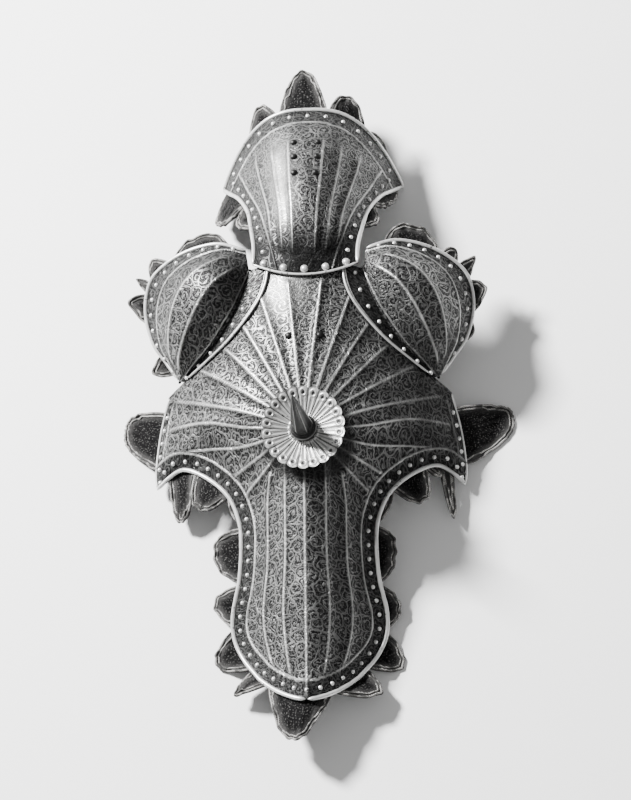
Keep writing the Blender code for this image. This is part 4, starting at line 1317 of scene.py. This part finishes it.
def cloth_grid(strip, seed):
    """A strip of lining as rows of points, from behind the rim to its scalloped and curling edge."""
    shares = strip_shares(strip)
    turn = RIMS[strip.rim]
    edge, out, _, up = turn(strip.first + (strip.last - strip.first) * np.array(shares))
    way, reach = level(out), np.full(len(shares), NOTCH_REACH)
    for index, share in enumerate(shares):
        tab = tab_at(strip.tabs, share)
        if tab is not None:
            _, tip_out, tip_run, _ = turn(np.array([strip.first + (strip.last - strip.first) * tab.tip]))
            way[index] = unit(level(tip_out)[0] + tab.lean * level(tip_run)[0])
            reach[index] += tab_reach(tab, share)
    rim_point = edge - up * (PLATE + LINING_GAP)
    columns = [rim_point - out * strip.tuck - up * TUCK_SLACK,
               rim_point - out * strip.tuck * 0.5 - up * TUCK_SLACK * 0.5]
    share = np.array(shares)
    full = ease(0.004, 0.016, reach)
    # hand-cut scallops aren't quite even
    reach = reach + full * (0.0007 * np.sin(share * 83 + seed * 2.1) + 0.0002 * np.sin(share * 139 + seed))
    for far in np.linspace(0, 1, 13):
        point = rim_point + (way - UP * strip.droop) * (reach * far)[:, None]
        puff = 0.0021 * sin(pi * far) * ease(0.0, 0.4, far)
        ripple = 0.0010 * far * np.sin(share * 61 + seed * 1.7) + 0.0006 * far * np.sin(share * 131 + seed * 2.9)
        curl = 0.0034 * far ** 5 * (0.6 + 0.4 * np.sin(share * 17 + seed))
        point[:, 2] += full * (puff + ripple + curl)
        columns.append(point)
    points = np.stack(columns, axis=1)
    points[..., 2] = np.maximum(points[..., 2], LINING + 0.0001)
    return share, points, up


def braid_paths(strip, shares, points, inset, radius):
    """A line of braid a set way in from each tab's edge, where the tab is wide enough for it."""
    ground = Ground(points)
    edge = points[:, -1]
    paths = []
    for tab in strip.tabs:
        inside = (shares >= tab.start) & (shares <= tab.end)
        line = even_path(edge[inside], 0.0018)
        run = unit(np.gradient(line, axis=0))
        inward = unit(np.cross(UP, run))
        middle = points[inside, 2].mean(axis=0)
        if ((middle - line[len(line) // 2]) @ inward[len(line) // 2]) < 0:
            inward = -inward
        moved = line + inward * inset
        away = np.linalg.norm(moved[:, None] - edge[None, inside], axis=-1).min(axis=1)
        kept = moved[away > inset * 0.88]
        if len(kept) < 6:
            continue
        found = [ground.nearest(point) for point in kept]
        path = np.array([spot + facing * radius * 0.35 for spot, facing in found])
        path[:, 2] = np.maximum(path[:, 2], radius + 0.0002)
        paths.append(even_path(path, 0.0018))
    return paths


def make_lining(strip, seed):
    shares, points, up = cloth_grid(strip, seed)
    under = points - up[:, None] * LINING
    under[..., 2] = np.maximum(under[..., 2], 0.0001)
    # the pile is rubbed pale towards the scalloped edge
    from_edge, _ = path_distance(points, [points[:, -1]])
    wear_and_painted_highlight = 0.9 * (1 - ease(0.002, 0.011, from_edge))
    mesh = shell_mesh(strip.name + "_cloth", points, under, {"wear_and_painted_highlight": wear_and_painted_highlight}, surface_map(points))
    cloth = place_piece(strip.name + "_cloth", mesh, VELVET, strip.side)
    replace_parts(cloth, strip.name)
    for line, (inset, radius) in enumerate(((0.0012, 0.0010), (0.0042, 0.0008))):
        paths = braid_paths(strip, shares, points, inset, radius)
        if paths:
            name = "%s_braid_%d" % (strip.name, line + 1)
            place_piece(name, tubes_mesh(name, paths, radius, 8), BRAID, strip.side)


make_rims()
make_band_rivets()
make_large_rivets()
make_rosette()
make_spike()
for number_of, strip in enumerate(STRIPS):
    make_lining(strip, number_of)

# Floor, light and camera
floor_mesh = bpy.data.meshes.new("floor")
floor_mesh.from_pydata([(-9, -9, 0), (9, -9, 0), (9, 9, 0), (-9, 9, 0)], [], [(0, 1, 2, 3)])
floor = bpy.data.objects.new("floor", floor_mesh)
floor_mesh.materials.append(floor_finish())
bpy.context.scene.collection.objects.link(floor)


def add_light(name, place, target, size, power):
    lamp = bpy.data.lights.new(name, "AREA")
    lamp.shape = "DISK"
    lamp.size = size
    lamp.energy = power
    thing = bpy.data.objects.new(name, lamp)
    thing.location = place
    thing.rotation_euler = (Vector(target) - Vector(place)).to_track_quat("-Z", "Y").to_euler()
    bpy.context.scene.collection.objects.link(thing)


add_light("key", (-1.9, 1.3, 1.9), (0, 0, 0), 0.50, 520)
add_light("fill", (1.6, -1.4, 2.6), (0, 0, 0), 2.6, 8)

world = bpy.data.worlds.new("studio")
world.use_nodes = True
world.node_tree.nodes["Background"].inputs["Color"].default_value = (1.0, 1.0, 1.0, 1.0)
world.node_tree.nodes["Background"].inputs["Strength"].default_value = 0.36
bpy.context.scene.world = world

alpha, beta = radians(CAMERA_NOSEWARD), radians(CAMERA_RIGHTWARD)
away = Vector((sin(beta), -cos(beta) * sin(alpha), cos(beta) * cos(alpha)))
camera = bpy.data.cameras.new("camera")
camera.lens = CAMERA_LENS
camera.sensor_fit = "VERTICAL"
camera.sensor_height = 36.0
camera_thing = bpy.data.objects.new("camera", camera)
target = Vector((0.0, 0.0, 0.045))
camera_thing.location = target + away * CAMERA_DISTANCE
# the poll points up in the picture, so the camera's right lies square to +Y and to its own view
right = Vector((0, 1, 0)).cross(away).normalized()
turned = Matrix((right, away.cross(right), away)).transposed().to_quaternion()
camera_thing.rotation_euler = (turned @ Quaternion((0, 0, 1), radians(CAMERA_ROLL))).to_euler()
bpy.context.scene.collection.objects.link(camera_thing)
bpy.context.scene.camera = camera_thing
